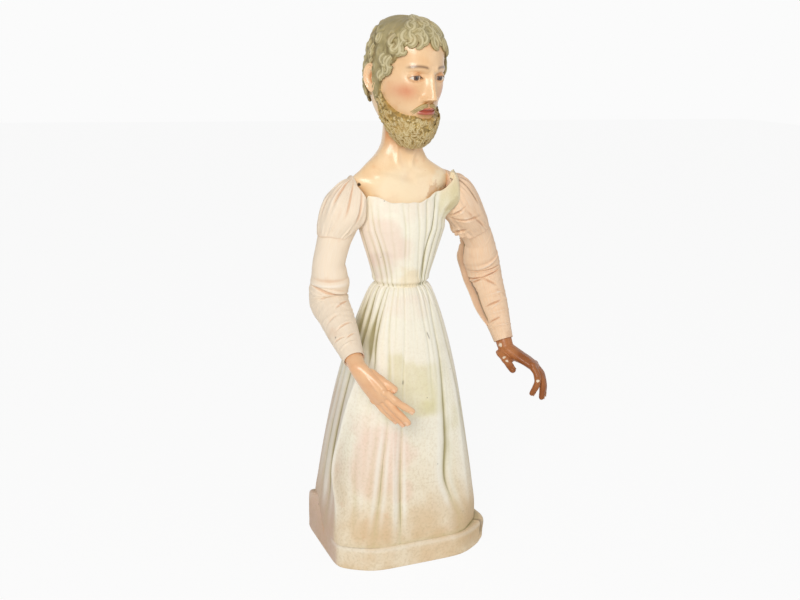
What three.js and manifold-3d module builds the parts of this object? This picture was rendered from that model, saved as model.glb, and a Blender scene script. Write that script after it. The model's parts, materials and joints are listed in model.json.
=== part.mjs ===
// A nativity figure of the dressed mannequin kind: a plinth, a slatted frame under a skirt of
// plaster-stiffened cloth, a wooden chest with a hollow painted head and bust, and two padded
// arms in cloth sleeves that turn at the shoulder, the elbow and the wrist.
// Millimetres, +Z up. The figure faces -Y, its left hand is towards +X, and the origin lies
// under the middle of the plinth.

import * as THREE from "three";
import { mergeVertices } from "three/addons/utils/BufferGeometryUtils.js";
import Module from "manifold-3d";

const wasm = await Module();
wasm.setup();
const { clamp, degToRad, lerp, radToDeg, smoothstep } = THREE.MathUtils;

// Clearances
const FIT = 0.3; // between glued or seated neighbours
const RUNNING_FIT = 0.5; // between pieces that turn on each other

// Plinth and the cloth glued round it
const PLINTH_WIDTH = 179;
const PLINTH_DEPTH = 152;
const PLINTH_HEIGHT = 27;
const CORNER_CUT_WIDTH = 34;
const CORNER_CUT_DEPTH = 22;
const HEM_CLOTH = 2.2;
const HEM_LIFT = 0.5;

// Skirt: pleated at the waist, squared off to follow the plinth at its foot
const WAIST_HEIGHT = 313;
const WAIST_WIDTH = 60;
const WAIST_DEPTH = 49;
const SKIRT_CLOTH = 2.2;
const SKIRT_FOOT_INSET = 3;
const SKIRT_FOOT_SQUARENESS = 4.5;
const SKIRT_PLEATS = 20;
const SKIRT_PLEAT_DEPTH = 3;
const SKIRT_FOOT_PLEAT_DEPTH = 1.6;

// Frame inside the skirt
const POST_RADIUS = 9;
const POST_TENON_RADIUS = 7;
const POST_SOCKET_DEPTH = 12;
const CHEST_SOCKET_DEPTH = 40;
const DISC_THICKNESS = 10;
const SLAT_COUNT = 8;
const SLAT_WIDTH = 11;
const SLAT_THICKNESS = 3.5;

// Torso: bodice, chest block and bust share one form; drops are measured from the shoulder
const TORSO_LENGTH = 124;
const CHEST_WIDTH = 100;
const CHEST_DEPTH = 64;
const CHEST_DROP = 61;
const SHOULDER_DEPTH = 28;
const BODICE_CLOTH = 1.8;
const BODICE_PLEATS = 18;
const BODICE_PLEAT_DEPTH = 1.6;
const NECKLINE_DROP = 32;
const ARMPIT_DROP = 58;
const RIGHT_STRAP_DROP = 22;
const LEFT_STRAP_DROP = 12;
const ARMHOLE_HALF_ANGLE = 12;
const STRAP_ANGLE = 30;
const NECKLINE_ANGLE = 56;
const BUST_TUCK = 17; // how far the bust reaches below the neckline
const BUST_WALL = 4;
const BUST_CLEARANCE = 0.8; // bust inside the bodice
const BLOCK_CLEARANCE = 1; // lower chest block inside the line of the bust
const CHEST_BLOCK_DROP = 12;
const BUST_EDGE_DROP = 4; // last full ring of the bust's shoulder
const TACK_RADIUS = 0.9;
const TACK_HEAD_RADIUS = 2.2;
const TACK_HEAD_THICKNESS = 0.8;
const TACK_LENGTH = 12;
const TACK_SINK = 1.2; // tack head below the bust's face
const TACK_HEIGHT = 7; // above the bust's lower rim
const TACK_ANGLES = [-120, -60, 60, 120];

// Neck and head
const NECK_WIDTH = 42;
const NECK_SLOPE = 33; // rise from the shoulder to the neck
const NECK_SET_BACK = 9;
const HEAD_RISE = 105; // ear level above the shoulder
const HEAD_WIDTH = 74;
const HEAD_DEPTH = 92;
const CROWN_HEIGHT = 58; // above ear level
const BEARD_DROP = 72; // below ear level
const HEAD_WALL = 6;
const HAIR_STAND = 0.5; // carved hair outside the head's form
const HAIR_EDGE_RISE = 4;
const SKIN_SET_BACK = 2; // bare skin inside the head's form
const CURL_DEPTH = 1.5;
const CURL_PITCH = 22;
const CURLS_ROUND = 11;
const HEAD_TURN = 14;
const HEAD_BOW = 10;
const HEAD_SHIFT = -2; // along X
const EYE_RADIUS = 6;
const EYE_SPACING = 31;
const EYE_HEIGHT = 3;
const EYE_PROUD = 1;
const NOSE_SIZE = [5.5, 10, 14];
const NOSE_DROP = 9;
const EAR_SIZE = [4.5, 9, 15];
const EAR_DROP = 6;
const EAR_SET_BACK = 7;

// Shoulder axle and arms
const AXLE_DROP = 29;
const AXLE_SET_BACK = 4;
const AXLE_RADIUS = 5;
const CAP_RADIUS = 8.5;
const CAP_THICKNESS = 6;
const ARMHOLE_GAP = 0.6;
const ARM_EYE_RADIUS = 11;
const ARM_EYE_WIDTH = 16;
const ARM_EYE_GAP = 2.5;
const UPPER_ARM_LENGTH = 116;
const FOREARM_LENGTH = 100; // elbow to wrist
const CORE_RADIUS = 6;
const TONGUE_THICKNESS = 6;
const CHEEK_THICKNESS = 3.6;
const KNUCKLE_RADIUS = 7;
const FORK_LENGTH = 13; // above the elbow pin
const ELBOW_PIN_RADIUS = 2;
const ELBOW_BEND_MAX = 88;
const ELBOW_BEND_MIN = 8;
const PEG_RADIUS = 3.4;
const PEG_LENGTH = 18;

// Sleeves: a short puff over a long fitted sleeve, both padded with tow
const SLEEVE_CLOTH = 1.6;
const SLEEVE_FOLDS = 8;
const SLEEVE_FOLD_DEPTH = 1.4;
const SHOULDER_PUFF_RADIUS = 25;
const PUFF_RADIUS = 27.5;
const SEAM_SHIFT = 8; // how far the padding stands out from the core at the seam
const MID_SHIFT = 7.5; // the same halfway to the elbow
const SEAM_DROP = 46; // shoulder to the puff's lower edge
const SEAM_RADIUS = 19;
const UPPER_SLEEVE_RADIUS = 17;
const ELBOW_RADIUS = 20;
const FOREARM_RADIUS = 18.5;
const FOREARM_SWELL = 32; // elbow to the forearm's fullest place
const CUFF_RADIUS = 14;
const CUFF_OVERLAP = 6; // sleeve past the end of the forearm core
const WRIST_SHOW = 20; // bare wrist between cuff and hand

// Hands
const WRIST_RADIUS = 9.8;
const PALM_LENGTH = 42;
const PALM_WIDTH = 32;
const PALM_THICKNESS = 15;
const FINGER_LENGTH = 43;
const FINGER_RADIUS = 4.1;
const THUMB_LENGTH = 33;
const THUMB_RADIUS = 4.7;

// Resting pose of each arm, in degrees; side is +1 for the figure's left; finger curls from the
// index finger on, and the thumb's root as shares of the palm's width, length and thickness
const ARMS = [
  {
    name: "right", side: -1, lift: 9.5, swing: 4, elbowTurn: 6, elbowBend: 64,
    hand: { twist: -98, bend: 32.4, lean: 22 }, curls: [22, 10, 11, 15],
    thumb: { across: 0.26, down: 0.32, palmward: 0.3, splay: 14, tilt: 4, curl: 8 },
  },
  {
    name: "left", side: 1, lift: 31, swing: 16, elbowTurn: -21, elbowBend: 47,
    hand: { twist: 81, bend: -40.7, lean: -8 }, curls: [80, 59, 56, 53],
    thumb: { across: 0.2, down: -0.06, palmward: 0.5, splay: 34, tilt: 8, curl: 6 },
  },
];

// Numbers of sides
const TURNED_SIDES = 16;
const PLEAT_COLUMNS = 3;
const HEAD_SIDES = 22;
const CARVED_SIDES = 44;
const CARVED_RINGS = 24;
const HOLLOW_SIDES = 12;
const LIMB_SIDES = 16;
const PALM_SIDES = 12;
const FINGER_SIDES = 6;
const BALL_SIDES = [16, 10];
const FEATURE_SIDES = [12, 8];

// Levels worked out from the sizes above
const shoulderHeight = WAIST_HEIGHT + TORSO_LENGTH;
const chestHeight = shoulderHeight - CHEST_DROP;
const necklineHeight = shoulderHeight - NECKLINE_DROP;
const bustRimHeight = necklineHeight - BUST_TUCK;
const axleHeight = shoulderHeight - AXLE_DROP;
const headCentre = new THREE.Vector3(HEAD_SHIFT, 0, shoulderHeight + HEAD_RISE);
const skirtFootHeight = PLINTH_HEIGHT + FIT;
const bustInset = BODICE_CLOTH + BUST_CLEARANCE;
const blockInset = bustInset + BUST_WALL + FIT;
const armholeReach = CHEST_WIDTH / 2 + ARMHOLE_GAP;
const shoulderReach = armholeReach + ARM_EYE_GAP + ARM_EYE_WIDTH / 2;
const sleeveEnd = FOREARM_LENGTH - WRIST_SHOW;
const coreEnd = sleeveEnd - CUFF_OVERLAP;
const cheekReach = TONGUE_THICKNESS / 2 + FIT + CHEEK_THICKNESS;
const knuckleClear = KNUCKLE_RADIUS + RUNNING_FIT;

// Finishes
const finish = (color, roughness) => new THREE.MeshStandardMaterial({ color, roughness, metalness: 0 });
const wood = finish(0xb58a5c, 0.75);
const stiffCloth = finish(0xefe6d0, 0.9);
const sleeveCotton = finish(0xeadcc8, 0.95);
const tow = finish(0xb9a274, 1);
const fleshPaint = finish(0xd99a6c, 0.35);
const eyeGlass = finish(0x3a2a20, 0.1);
const iron = new THREE.MeshStandardMaterial({ color: 0x4a4440, roughness: 0.6, metalness: 0.9 });

const vector = (x, y, z) => new THREE.Vector3(x, y, z);
const polar = (radius, angle, z, shift = 0) =>
  vector(shift + radius * Math.cos(angle), radius * Math.sin(angle), z);

/** A ring of points, counter-clockwise seen from +Z, from a function of the angle. */
function ring(sides, pointAt) {
  return Array.from({ length: sides }, (_, i) => pointAt((2 * Math.PI * i) / sides));
}

/** A closed surface through rings that climb in +Z: capped, or joined last to first as a wall. */
function loft(rings, wall = false) {
  const sides = rings[0].length;
  const points = rings.flat();
  const faces = [];
  const bands = wall ? rings.length : rings.length - 1;
  for (let band = 0; band < bands; band++) {
    const low = band * sides;
    const high = ((band + 1) % rings.length) * sides;
    for (let i = 0; i < sides; i++) {
      const next = (i + 1) % sides;
      faces.push(low + i, low + next, high + next, low + i, high + next, high + i);
    }
  }
  if (!wall) {
    const last = points.length - sides;
    const [foot, top] = [rings[0], rings.at(-1)].map(
      (loop) => points.push(loop.reduce((sum, p) => sum.add(p), vector(0, 0, 0)).divideScalar(sides)) - 1,
    );
    for (let i = 0; i < sides; i++) {
      const next = (i + 1) % sides;
      faces.push(foot, next, i, top, last + i, last + next);
    }
  }
  return new THREE.BufferGeometry().setFromPoints(points).setIndex(faces);
}

function toSolid(geometry) {
  const bare = geometry.clone();
  bare.deleteAttribute("normal");
  bare.deleteAttribute("uv");
  const merged = mergeVertices(bare);
  const vertProperties = new Float32Array(merged.attributes.position.array);
  const triVerts = new Uint32Array(merged.index.array);
  return new wasm.Manifold(new wasm.Mesh({ numProp: 3, vertProperties, triVerts }));
}

function toGeometry(solid) {
  const { vertProperties, triVerts } = solid.getMesh();
  const geometry = new THREE.BufferGeometry();
  geometry.setAttribute("position", new THREE.BufferAttribute(new Float32Array(vertProperties), 3));
  return geometry.setIndex(new THREE.BufferAttribute(new Uint32Array(triVerts), 1));
}

const join = (...pieces) => toGeometry(pieces.map(toSolid).reduce((body, piece) => body.add(piece)));
const cut = (body, ...tools) =>
  toGeometry(tools.map(toSolid).reduce((rest, tool) => rest.subtract(tool), toSolid(body)));

/** A turned piece on the Z axis through stations of [height, radius], lowest first. */
function turned(stations, sides = TURNED_SIDES) {
  return loft(stations.map(([z, radius]) => ring(sides, (angle) => polar(radius, angle, z))));
}

const pin = (radius, from, to, sides = TURNED_SIDES) => turned([[from, radius], [to, radius]], sides);
const crossPin = (radius, halfLength) => pin(radius, -halfLength, halfLength).rotateY(Math.PI / 2);
const box = (width, depth, height) => new THREE.BoxGeometry(width, depth, height);
const ball = (radius, sides = BALL_SIDES) => new THREE.SphereGeometry(radius, ...sides);

/** Distance from the centre of an oval to its edge, rounder or squarer by its power. */
function ovalRadius(halfWidth, halfDepth, angle, power = 2) {
  const across = Math.abs(Math.cos(angle) / halfWidth) ** power;
  const along = Math.abs(Math.sin(angle) / halfDepth) ** power;
  return (across + along) ** (-1 / power);
}

const figure = new THREE.Group();
figure.name = "nativity_figure";

function add(name, geometry, material, parent = figure) {
  const mesh = new THREE.Mesh(geometry, material);
  mesh.name = name;
  parent.add(mesh);
  return mesh;
}

// Plinth and hem

/** The plinth's eight-sided outline, moved outwards by a distance. */
function plinthOutline(outset, PathType = THREE.Shape) {
  const halfWidth = PLINTH_WIDTH / 2;
  const halfDepth = PLINTH_DEPTH / 2;
  const slope = Math.hypot(CORNER_CUT_WIDTH, CORNER_CUT_DEPTH);
  const cutCorner = CORNER_CUT_DEPTH * halfWidth + CORNER_CUT_WIDTH * (halfDepth - CORNER_CUT_DEPTH);
  const edge = cutCorner + outset * slope;
  const x = halfWidth + outset;
  const y = halfDepth + outset;
  const cornerX = (edge - CORNER_CUT_WIDTH * y) / CORNER_CUT_DEPTH;
  const cornerY = (edge - CORNER_CUT_DEPTH * x) / CORNER_CUT_WIDTH;
  const quarter = [[x, cornerY], [cornerX, y]];
  const half = [...quarter, ...quarter.map(([px, py]) => [-px, py]).reverse()];
  const corners = [...half, ...half.map(([px, py]) => [-px, -py])];
  return new PathType(corners.map(([px, py]) => new THREE.Vector2(px, py)));
}

const extrude = (shape, depth) => new THREE.ExtrudeGeometry(shape, { depth, bevelEnabled: false });
const postSocket = pin(POST_RADIUS + FIT, PLINTH_HEIGHT - POST_SOCKET_DEPTH, PLINTH_HEIGHT + FIT);
add("plinth_board", cut(extrude(plinthOutline(0), PLINTH_HEIGHT), postSocket), wood);

const hemOutline = plinthOutline(FIT + HEM_CLOTH);
hemOutline.holes.push(plinthOutline(FIT, THREE.Path));
add("hem_band", extrude(hemOutline, PLINTH_HEIGHT - HEM_LIFT).translate(0, 0, HEM_LIFT), stiffCloth);

// Skirt and the frame that carries it

const skirtHeight = (drop) => lerp(WAIST_HEIGHT - FIT, skirtFootHeight, drop);

/** The skirt's smooth form: it springs out below the waist and squares up towards the foot. */
function skirtRadius(drop, angle) {
  const flare = (Math.sqrt(drop) + 1 - (1 - drop) ** 2) / 2;
  const halfWidth = lerp(WAIST_WIDTH / 2, PLINTH_WIDTH / 2 - SKIRT_FOOT_INSET, flare);
  const halfDepth = lerp(WAIST_DEPTH / 2, PLINTH_DEPTH / 2 - SKIRT_FOOT_INSET, flare);
  return ovalRadius(halfWidth, halfDepth, angle, lerp(2, SKIRT_FOOT_SQUARENESS, drop));
}

const pleat = (count, angle) => (1 + Math.cos(count * angle)) / 2;
const skirtDrops = [1, 0.62, 0.36, 0.18, 0.08, 0.03, 0];
const skirtSides = SKIRT_PLEATS * PLEAT_COLUMNS;

function skirtOuterRing(drop) {
  const depth = lerp(SKIRT_PLEAT_DEPTH, SKIRT_FOOT_PLEAT_DEPTH, drop);
  return ring(skirtSides, (angle) =>
    polar(skirtRadius(drop, angle) + depth * pleat(SKIRT_PLEATS, angle), angle, skirtHeight(drop)));
}

const skirtInnerRing = (drop) =>
  ring(skirtSides, (angle) => polar(skirtRadius(drop, angle) - SKIRT_CLOTH, angle, skirtHeight(drop)));
const skirtRings = [...skirtDrops.map(skirtOuterRing), ...skirtDrops.toReversed().map(skirtInnerRing)];
add("skirt", loft(skirtRings, true), stiffCloth);

/** How far out a flat slat can lie under the skirt at a height, clear across its whole width. */
function slatReach(drop, angle) {
  const inside = (turn) => skirtRadius(drop, angle + turn) - SKIRT_CLOTH - FIT;
  const spread = Math.atan(SLAT_WIDTH / 2 / inside(0));
  const faceting = Math.cos(Math.PI / skirtSides);
  return Math.min(...[-spread, 0, spread].map((turn) => inside(turn) * Math.cos(turn))) * faceting;
}

/** One slat, bent along the skirt's inside from the plinth to the waist. */
function slat(angle) {
  const outer = skirtDrops.map((drop) => new THREE.Vector2(slatReach(drop, angle), skirtHeight(drop)));
  const inner = outer.map(({ x, y }) => new THREE.Vector2(x - SLAT_THICKNESS, y)).reverse();
  return extrude(new THREE.Shape([...outer, ...inner]), SLAT_WIDTH)
    .rotateX(Math.PI / 2)
    .translate(0, SLAT_WIDTH / 2, 0);
}

const discTop = WAIST_HEIGHT - FIT;
const discFoot = discTop - DISC_THICKNESS;
const notches = [];
for (let i = 0; i < SLAT_COUNT; i++) {
  const angle = (2 * Math.PI * (i + 0.5)) / SLAT_COUNT;
  add(`skirt_slat_${i + 1}`, slat(angle), wood).rotation.z = angle;
  const notch = box(WAIST_WIDTH, SLAT_WIDTH + 2 * FIT, TORSO_LENGTH);
  const notchFloor = slatReach(0, angle) - SLAT_THICKNESS - FIT;
  notches.push(notch.translate(notchFloor + WAIST_WIDTH / 2, 0, discTop).rotateZ(angle));
}

const discRing = (z) =>
  ring(skirtSides, (angle) => polar(skirtRadius(0, angle) - SKIRT_CLOTH - FIT, angle, z));
const tenonBore = pin(POST_TENON_RADIUS + FIT, discFoot - FIT, discTop + CHEST_SOCKET_DEPTH);
add("waist_disc", cut(loft([discRing(discFoot), discRing(discTop)]), tenonBore, ...notches), wood);
add("centre_post", turned([
  [PLINTH_HEIGHT - POST_SOCKET_DEPTH + FIT, POST_RADIUS],
  [discFoot - FIT, POST_RADIUS],
  [discFoot - FIT, POST_TENON_RADIUS],
  [discTop + CHEST_SOCKET_DEPTH - FIT, POST_TENON_RADIUS],
]), wood);

// Torso

/** The torso's oval half sizes at a height: a straight taper to the chest, then rounding over. */
function torsoSize(z) {
  const below = clamp((z - WAIST_HEIGHT) / (chestHeight - WAIST_HEIGHT), 0, 1);
  const above = clamp((z - chestHeight) / CHEST_DROP, 0, 1);
  const halfWidth = lerp(WAIST_WIDTH, CHEST_WIDTH, below) / 2;
  const roundedDepth = lerp(SHOULDER_DEPTH, CHEST_DEPTH, Math.sqrt(1 - above ** 2));
  return [halfWidth, Math.min(lerp(WAIST_DEPTH, CHEST_DEPTH, below), roundedDepth) / 2];
}

const torsoRadius = (z, angle) => ovalRadius(...torsoSize(z), angle);

/** Height of the bodice's upper edge: low under the arm, high at the strap, scooped at the neck. */
function bodiceTop(angle) {
  const fromSide = radToDeg(Math.asin(Math.abs(Math.sin(angle))));
  const strapDrop = Math.cos(angle) < 0 ? RIGHT_STRAP_DROP : LEFT_STRAP_DROP;
  const armhole = smoothstep(fromSide, ARMHOLE_HALF_ANGLE, STRAP_ANGLE);
  const neckline = smoothstep(fromSide, STRAP_ANGLE, NECKLINE_ANGLE);
  return shoulderHeight - lerp(lerp(ARMPIT_DROP, strapDrop, armhole), NECKLINE_DROP, neckline);
}

const bodiceFoot = WAIST_HEIGHT + FIT;
const bodiceRows = [0, 1, 2, 3, 4, 5];
const chestRowLimit = 0.6; // share of a low column below its chest row

/** Height of one row of the bodice at an angle: its foot, the chest, then evenly up to its edge. */
function bodiceHeight(row, angle) {
  const top = bodiceTop(angle);
  const chest = Math.min(chestHeight, lerp(bodiceFoot, top, chestRowLimit));
  return row === 0 ? bodiceFoot : lerp(chest, top, (row - 1) / (bodiceRows.length - 2));
}

function bodiceRing(row, offsetAt) {
  return ring(BODICE_PLEATS * PLEAT_COLUMNS, (angle) => {
    const z = bodiceHeight(row, angle);
    return polar(torsoRadius(z, angle) + offsetAt(angle), angle, z);
  });
}

const bodicePleat = (angle) => BODICE_PLEAT_DEPTH * pleat(BODICE_PLEATS, angle) * Math.sin(angle) ** 2;
add("bodice", loft([
  ...bodiceRows.map((row) => bodiceRing(row, bodicePleat)),
  ...bodiceRows.toReversed().map((row) => bodiceRing(row, () => -BODICE_CLOTH)),
], true), stiffCloth);

const torsoRing = (z, inset) => ring(HEAD_SIDES, (angle) => polar(torsoRadius(z, angle) - inset, angle, z));
const axleBore = crossPin(AXLE_RADIUS + FIT, CHEST_WIDTH).translate(0, AXLE_SET_BACK, axleHeight);
const ledge = bustRimHeight - FIT;
const blockTop = shoulderHeight - CHEST_BLOCK_DROP;

/** A tack driven straight in through the bust, or its hole: wider by a margin, with an open head. */
function tack(degrees, margin = 0, aboveHead = 0) {
  const angle = degToRad(degrees);
  const z = bustRimHeight + TACK_HEIGHT;
  const face = torsoRadius(z, angle) - bustInset;
  return turned([
    [-TACK_LENGTH - margin, TACK_RADIUS + margin],
    [-TACK_HEAD_THICKNESS - margin, TACK_RADIUS + margin],
    [-TACK_HEAD_THICKNESS - margin, TACK_HEAD_RADIUS + margin],
    [aboveHead, TACK_HEAD_RADIUS + margin],
  ], FINGER_SIDES).rotateY(Math.PI / 2).translate(face - TACK_SINK, 0, 0).rotateZ(angle).translate(0, 0, z);
}

const tackHoles = TACK_ANGLES.map((degrees) => tack(degrees, FIT, 2 * TACK_SINK));
const chestForm = loft([
  torsoRing(WAIST_HEIGHT, bustInset + BLOCK_CLEARANCE),
  torsoRing(chestHeight, bustInset + BLOCK_CLEARANCE),
  torsoRing(ledge, bustInset + BLOCK_CLEARANCE),
  torsoRing(ledge, blockInset),
  torsoRing(necklineHeight, blockInset),
  torsoRing(blockTop, blockInset),
]);
add("chest_block", cut(chestForm, tenonBore, axleBore, ...tackHoles), wood);
TACK_ANGLES.forEach((degrees, i) => add(`bust_tack_${i + 1}`, tack(degrees), iron));

const axleEnd = shoulderReach + ARM_EYE_WIDTH / 2 + FIT + CAP_THICKNESS / 2;
const axle = add("shoulder_axle", crossPin(AXLE_RADIUS, axleEnd), wood);
axle.position.set(0, AXLE_SET_BACK, axleHeight);

// Head and bust, one hollow shell

// The slope from shoulder to neck: share of its rise, share of the narrowing to the neck
const NECK_FORM = [[0.12, 0], [0.38, 0.32], [0.64, 0.67], [1, 1]];

/** The bust from its rim over the shoulders into the neck, drawn in by an inset. */
function bust(foot, inset) {
  const [halfWidth, halfDepth] = torsoSize(shoulderHeight);
  const shoulders = [foot, necklineHeight, blockTop, shoulderHeight - BUST_EDGE_DROP];
  const slope = NECK_FORM.map(([rise, narrowing]) => {
    const width = lerp(halfWidth - bustInset, NECK_WIDTH / 2, narrowing) - inset;
    const depth = lerp(halfDepth - bustInset, NECK_WIDTH / 2, rise) - inset;
    const z = shoulderHeight + NECK_SLOPE * rise;
    const setBack = vector(0, NECK_SET_BACK * rise, 0);
    return ring(HEAD_SIDES, (angle) => polar(ovalRadius(width, depth, angle), angle, z).add(setBack));
  });
  const neck = slope.at(-1).map(({ x, y }) => vector(x, y, headCentre.z));
  return loft([...shoulders.map((z) => torsoRing(z, bustInset + inset)), ...slope, neck]);
}

// Stations of the head: share of the way from beard to crown, then half width, reach forward
// and reach back as shares of half the head's width and depth
const HEAD_FORM = [
  [0.0, 0.24, 0.78, -0.42],
  [0.06, 0.55, 0.98, -0.16],
  [0.17, 0.8, 1.08, 0.3],
  [0.29, 0.94, 1.06, 0.64],
  [0.45, 1.0, 0.98, 0.96],
  [0.62, 1.05, 1.02, 1.06],
  [0.77, 1.06, 1.02, 1.08],
  [0.89, 0.92, 0.88, 0.96],
  [0.97, 0.58, 0.56, 0.62],
  [1.0, 0.16, 0.16, 0.18],
];

// Lower edge of the hair and upper edge of the beard: degrees from the face's middle, height
const HAIR_EDGE = [
  [0, 40], [28, 38], [46, 30], [56, 16], [66, 4], [76, -10], [82, -28], [92, -28], [98, 6], [112, 6],
  [130, -28], [180, -36],
];
const BEARD_EDGE = [[0, -37], [52, -38], [69, -33], [80, -26], [94, -30], [120, -44], [180, -60]];

/** A value read from a table of [place, value] pairs, on the straight line between its neighbours. */
function readTable(table, place) {
  const next = Math.max(1, table.findIndex(([at]) => at >= place));
  const [[start, low], [end, high]] = [table[next - 1], table[next]];
  return lerp(low, high, (place - start) / (end - start));
}

/** How far carved hair and beard stand out, with their curls, and how far bare skin lies back. */
function headRelief(angle, z) {
  const fromFace = Math.abs(radToDeg(Math.atan2(Math.cos(angle), -Math.sin(angle))));
  const hair = smoothstep(z - readTable(HAIR_EDGE, fromFace), 0, HAIR_EDGE_RISE);
  const beard = smoothstep(readTable(BEARD_EDGE, fromFace) - z, 0, HAIR_EDGE_RISE);
  const curl = Math.cos(CURLS_ROUND * angle) * Math.cos((2 * Math.PI * z) / CURL_PITCH);
  const crown = smoothstep(z, CROWN_HEIGHT / 2, CROWN_HEIGHT);
  return lerp(-SKIN_SET_BACK, HAIR_STAND + CURL_DEPTH * curl * (1 - crown), Math.max(hair, beard));
}

/** One ring of the head at a share of the way from beard to crown, drawn in by an inset. */
function headRing(share, inset, sides, reliefAt) {
  const next = Math.max(1, HEAD_FORM.findIndex(([station]) => station >= share));
  const [below, above] = [HEAD_FORM[next - 1], HEAD_FORM[next]];
  const between = (share - below[0]) / (above[0] - below[0]);
  const [across, ahead, behind] = [1, 2, 3].map((column) => lerp(below[column], above[column], between));
  const z = lerp(-BEARD_DROP + inset, CROWN_HEIGHT - inset, share);
  const halfWidth = across * (HEAD_WIDTH / 2 - inset);
  const halfDepth = ((ahead + behind) / 2) * (HEAD_DEPTH / 2 - inset);
  const middle = vector(0, ((behind - ahead) / 2) * (HEAD_DEPTH / 2 - inset), 0);
  return ring(sides, (angle) =>
    polar(ovalRadius(halfWidth, halfDepth, angle) + reliefAt(angle, z), angle, z).add(middle));
}

const carvedShares = Array.from({ length: CARVED_RINGS }, (_, i) => i / (CARVED_RINGS - 1));
const carvedHead = loft(carvedShares.map((share) => headRing(share, 0, CARVED_SIDES, headRelief)));
const hollowHead = loft(HEAD_FORM.map(([share]) => headRing(share, HEAD_WALL, HOLLOW_SIDES, () => 0)));

const head = new THREE.Group();
head.position.copy(headCentre);
head.rotation.set(degToRad(HEAD_BOW), 0, degToRad(HEAD_TURN), "ZXY");
head.updateMatrix();
const onHead = (geometry) => geometry.applyMatrix4(head.matrix);
const rounded = (size) => new THREE.SphereGeometry(1, ...FEATURE_SIDES).scale(...size);
const faceReach = HEAD_DEPTH / 2 * Math.sqrt(1 - (EYE_SPACING / HEAD_WIDTH) ** 2);
const eyePlace = (side) => [side * EYE_SPACING / 2, EYE_RADIUS - faceReach - EYE_PROUD, EYE_HEIGHT];

const nose = rounded(NOSE_SIZE).translate(0, -HEAD_DEPTH / 2, -NOSE_DROP);
const ears = [-1, 1].map((side) =>
  rounded(EAR_SIZE).translate(side * HEAD_WIDTH / 2, EAR_SET_BACK, -EAR_DROP));
const sockets = [-1, 1].map((side) => ball(EYE_RADIUS + FIT, FEATURE_SIDES).translate(...eyePlace(side)));
const notch = box(CHEST_WIDTH * 2, 2 * (AXLE_RADIUS + FIT), AXLE_DROP)
  .translate(0, AXLE_SET_BACK, axleHeight - AXLE_DROP / 2);
const headSolid = join(bust(bustRimHeight, 0), ...[carvedHead, nose, ...ears].map(onHead));
const headHollows = [hollowHead, ...sockets].map(onHead);
const bustHollow = bust(bustRimHeight - FIT, BUST_WALL);
add("head_and_bust", cut(headSolid, bustHollow, ...headHollows, axleBore, notch, ...tackHoles), fleshPaint);

figure.add(head);
for (const [name, side] of [["right", -1], ["left", 1]]) {
  add(`glass_eye_${name}`, ball(EYE_RADIUS, FEATURE_SIDES), eyeGlass, head).position.set(...eyePlace(side));
}

// Arms

/** A limb hanging along -Z through stations of [distance down, radius, shift along X]. */
function limb(stations, inset) {
  return loft(stations.toReversed().map(([down, radius, shift]) =>
    ring(LIMB_SIDES, (angle) => polar(radius - inset, angle, -down, shift))));
}

/** The same limb with gathered folds that stand out round it. */
function gatheredLimb(stations) {
  return loft(stations.toReversed().map(([down, radius, shift]) =>
    ring(SLEEVE_FOLDS * PLEAT_COLUMNS, (angle) =>
      polar(radius + SLEEVE_FOLD_DEPTH * pleat(SLEEVE_FOLDS, angle), angle, -down, shift))));
}

/** Moves the ends of a limb's stations up and down by two distances, at the same radius. */
function stretched(stations, up, down) {
  const [first, last] = [stations[0], stations.at(-1)];
  return [[first[0] - up, ...first.slice(1)], ...stations.slice(1, -1), [last[0] + down, ...last.slice(1)]];
}

/** A box that fills the space below a plane through the elbow, tilted from level about X. */
function mitre(tilt, reach) {
  return box(reach, reach, reach).translate(0, 0, -reach / 2 - FIT).rotateX(tilt);
}

/** The slot in the elbow's ball through which the upper arm's core swings. */
function elbowSlot() {
  const margin = Math.asin((CORE_RADIUS + RUNNING_FIT) / (ELBOW_RADIUS - SLEEVE_CLOTH));
  const shape = new THREE.Shape();
  const start = Math.PI / 2 - degToRad(ELBOW_BEND_MIN) + margin;
  const end = Math.PI / 2 - degToRad(ELBOW_BEND_MAX) - margin;
  shape.moveTo(0, 0);
  shape.lineTo(2 * ELBOW_RADIUS * Math.cos(end), 2 * ELBOW_RADIUS * Math.sin(end));
  shape.absarc(0, 0, 2 * ELBOW_RADIUS, end, start, false);
  const width = 2 * (CORE_RADIUS + RUNNING_FIT);
  const swing = new THREE.Matrix4().makeBasis(vector(0, -1, 0), vector(0, 0, 1), vector(-1, 0, 0));
  const slotSteps = { depth: width, bevelEnabled: false, curveSegments: FINGER_SIDES };
  return new THREE.ExtrudeGeometry(shape, slotSteps).applyMatrix4(swing).translate(width / 2, 0, 0);
}

// The puff below the shoulder: share of the drop to the seam, swell and lean, each from 0 to 1
const PUFF_FORM = [[0.42, 1, 0.15], [0.75, 0.5, 0.7], [1, 0, 1]];
const PUFF_DOME = [8, 35, 62, 90]; // degrees from the top of the shoulder

/** The puff's stations, from the round shoulder to the seam, leaning out from the body. */
function puffStations(side) {
  const dome = PUFF_DOME.map(degToRad).map((angle) =>
    [-SHOULDER_PUFF_RADIUS * Math.cos(angle), SHOULDER_PUFF_RADIUS * Math.sin(angle), 0]);
  const hanging = PUFF_FORM.map(([drop, swell, lean]) =>
    [drop * (SEAM_DROP - FIT), lerp(SEAM_RADIUS, PUFF_RADIUS, swell), side * SEAM_SHIFT * lean]);
  return [...dome, ...hanging];
}

const elbowTube = ELBOW_RADIUS - RUNNING_FIT; // sleeve just inside the elbow's ball
const aboveElbow = UPPER_ARM_LENGTH - ELBOW_RADIUS;

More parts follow.
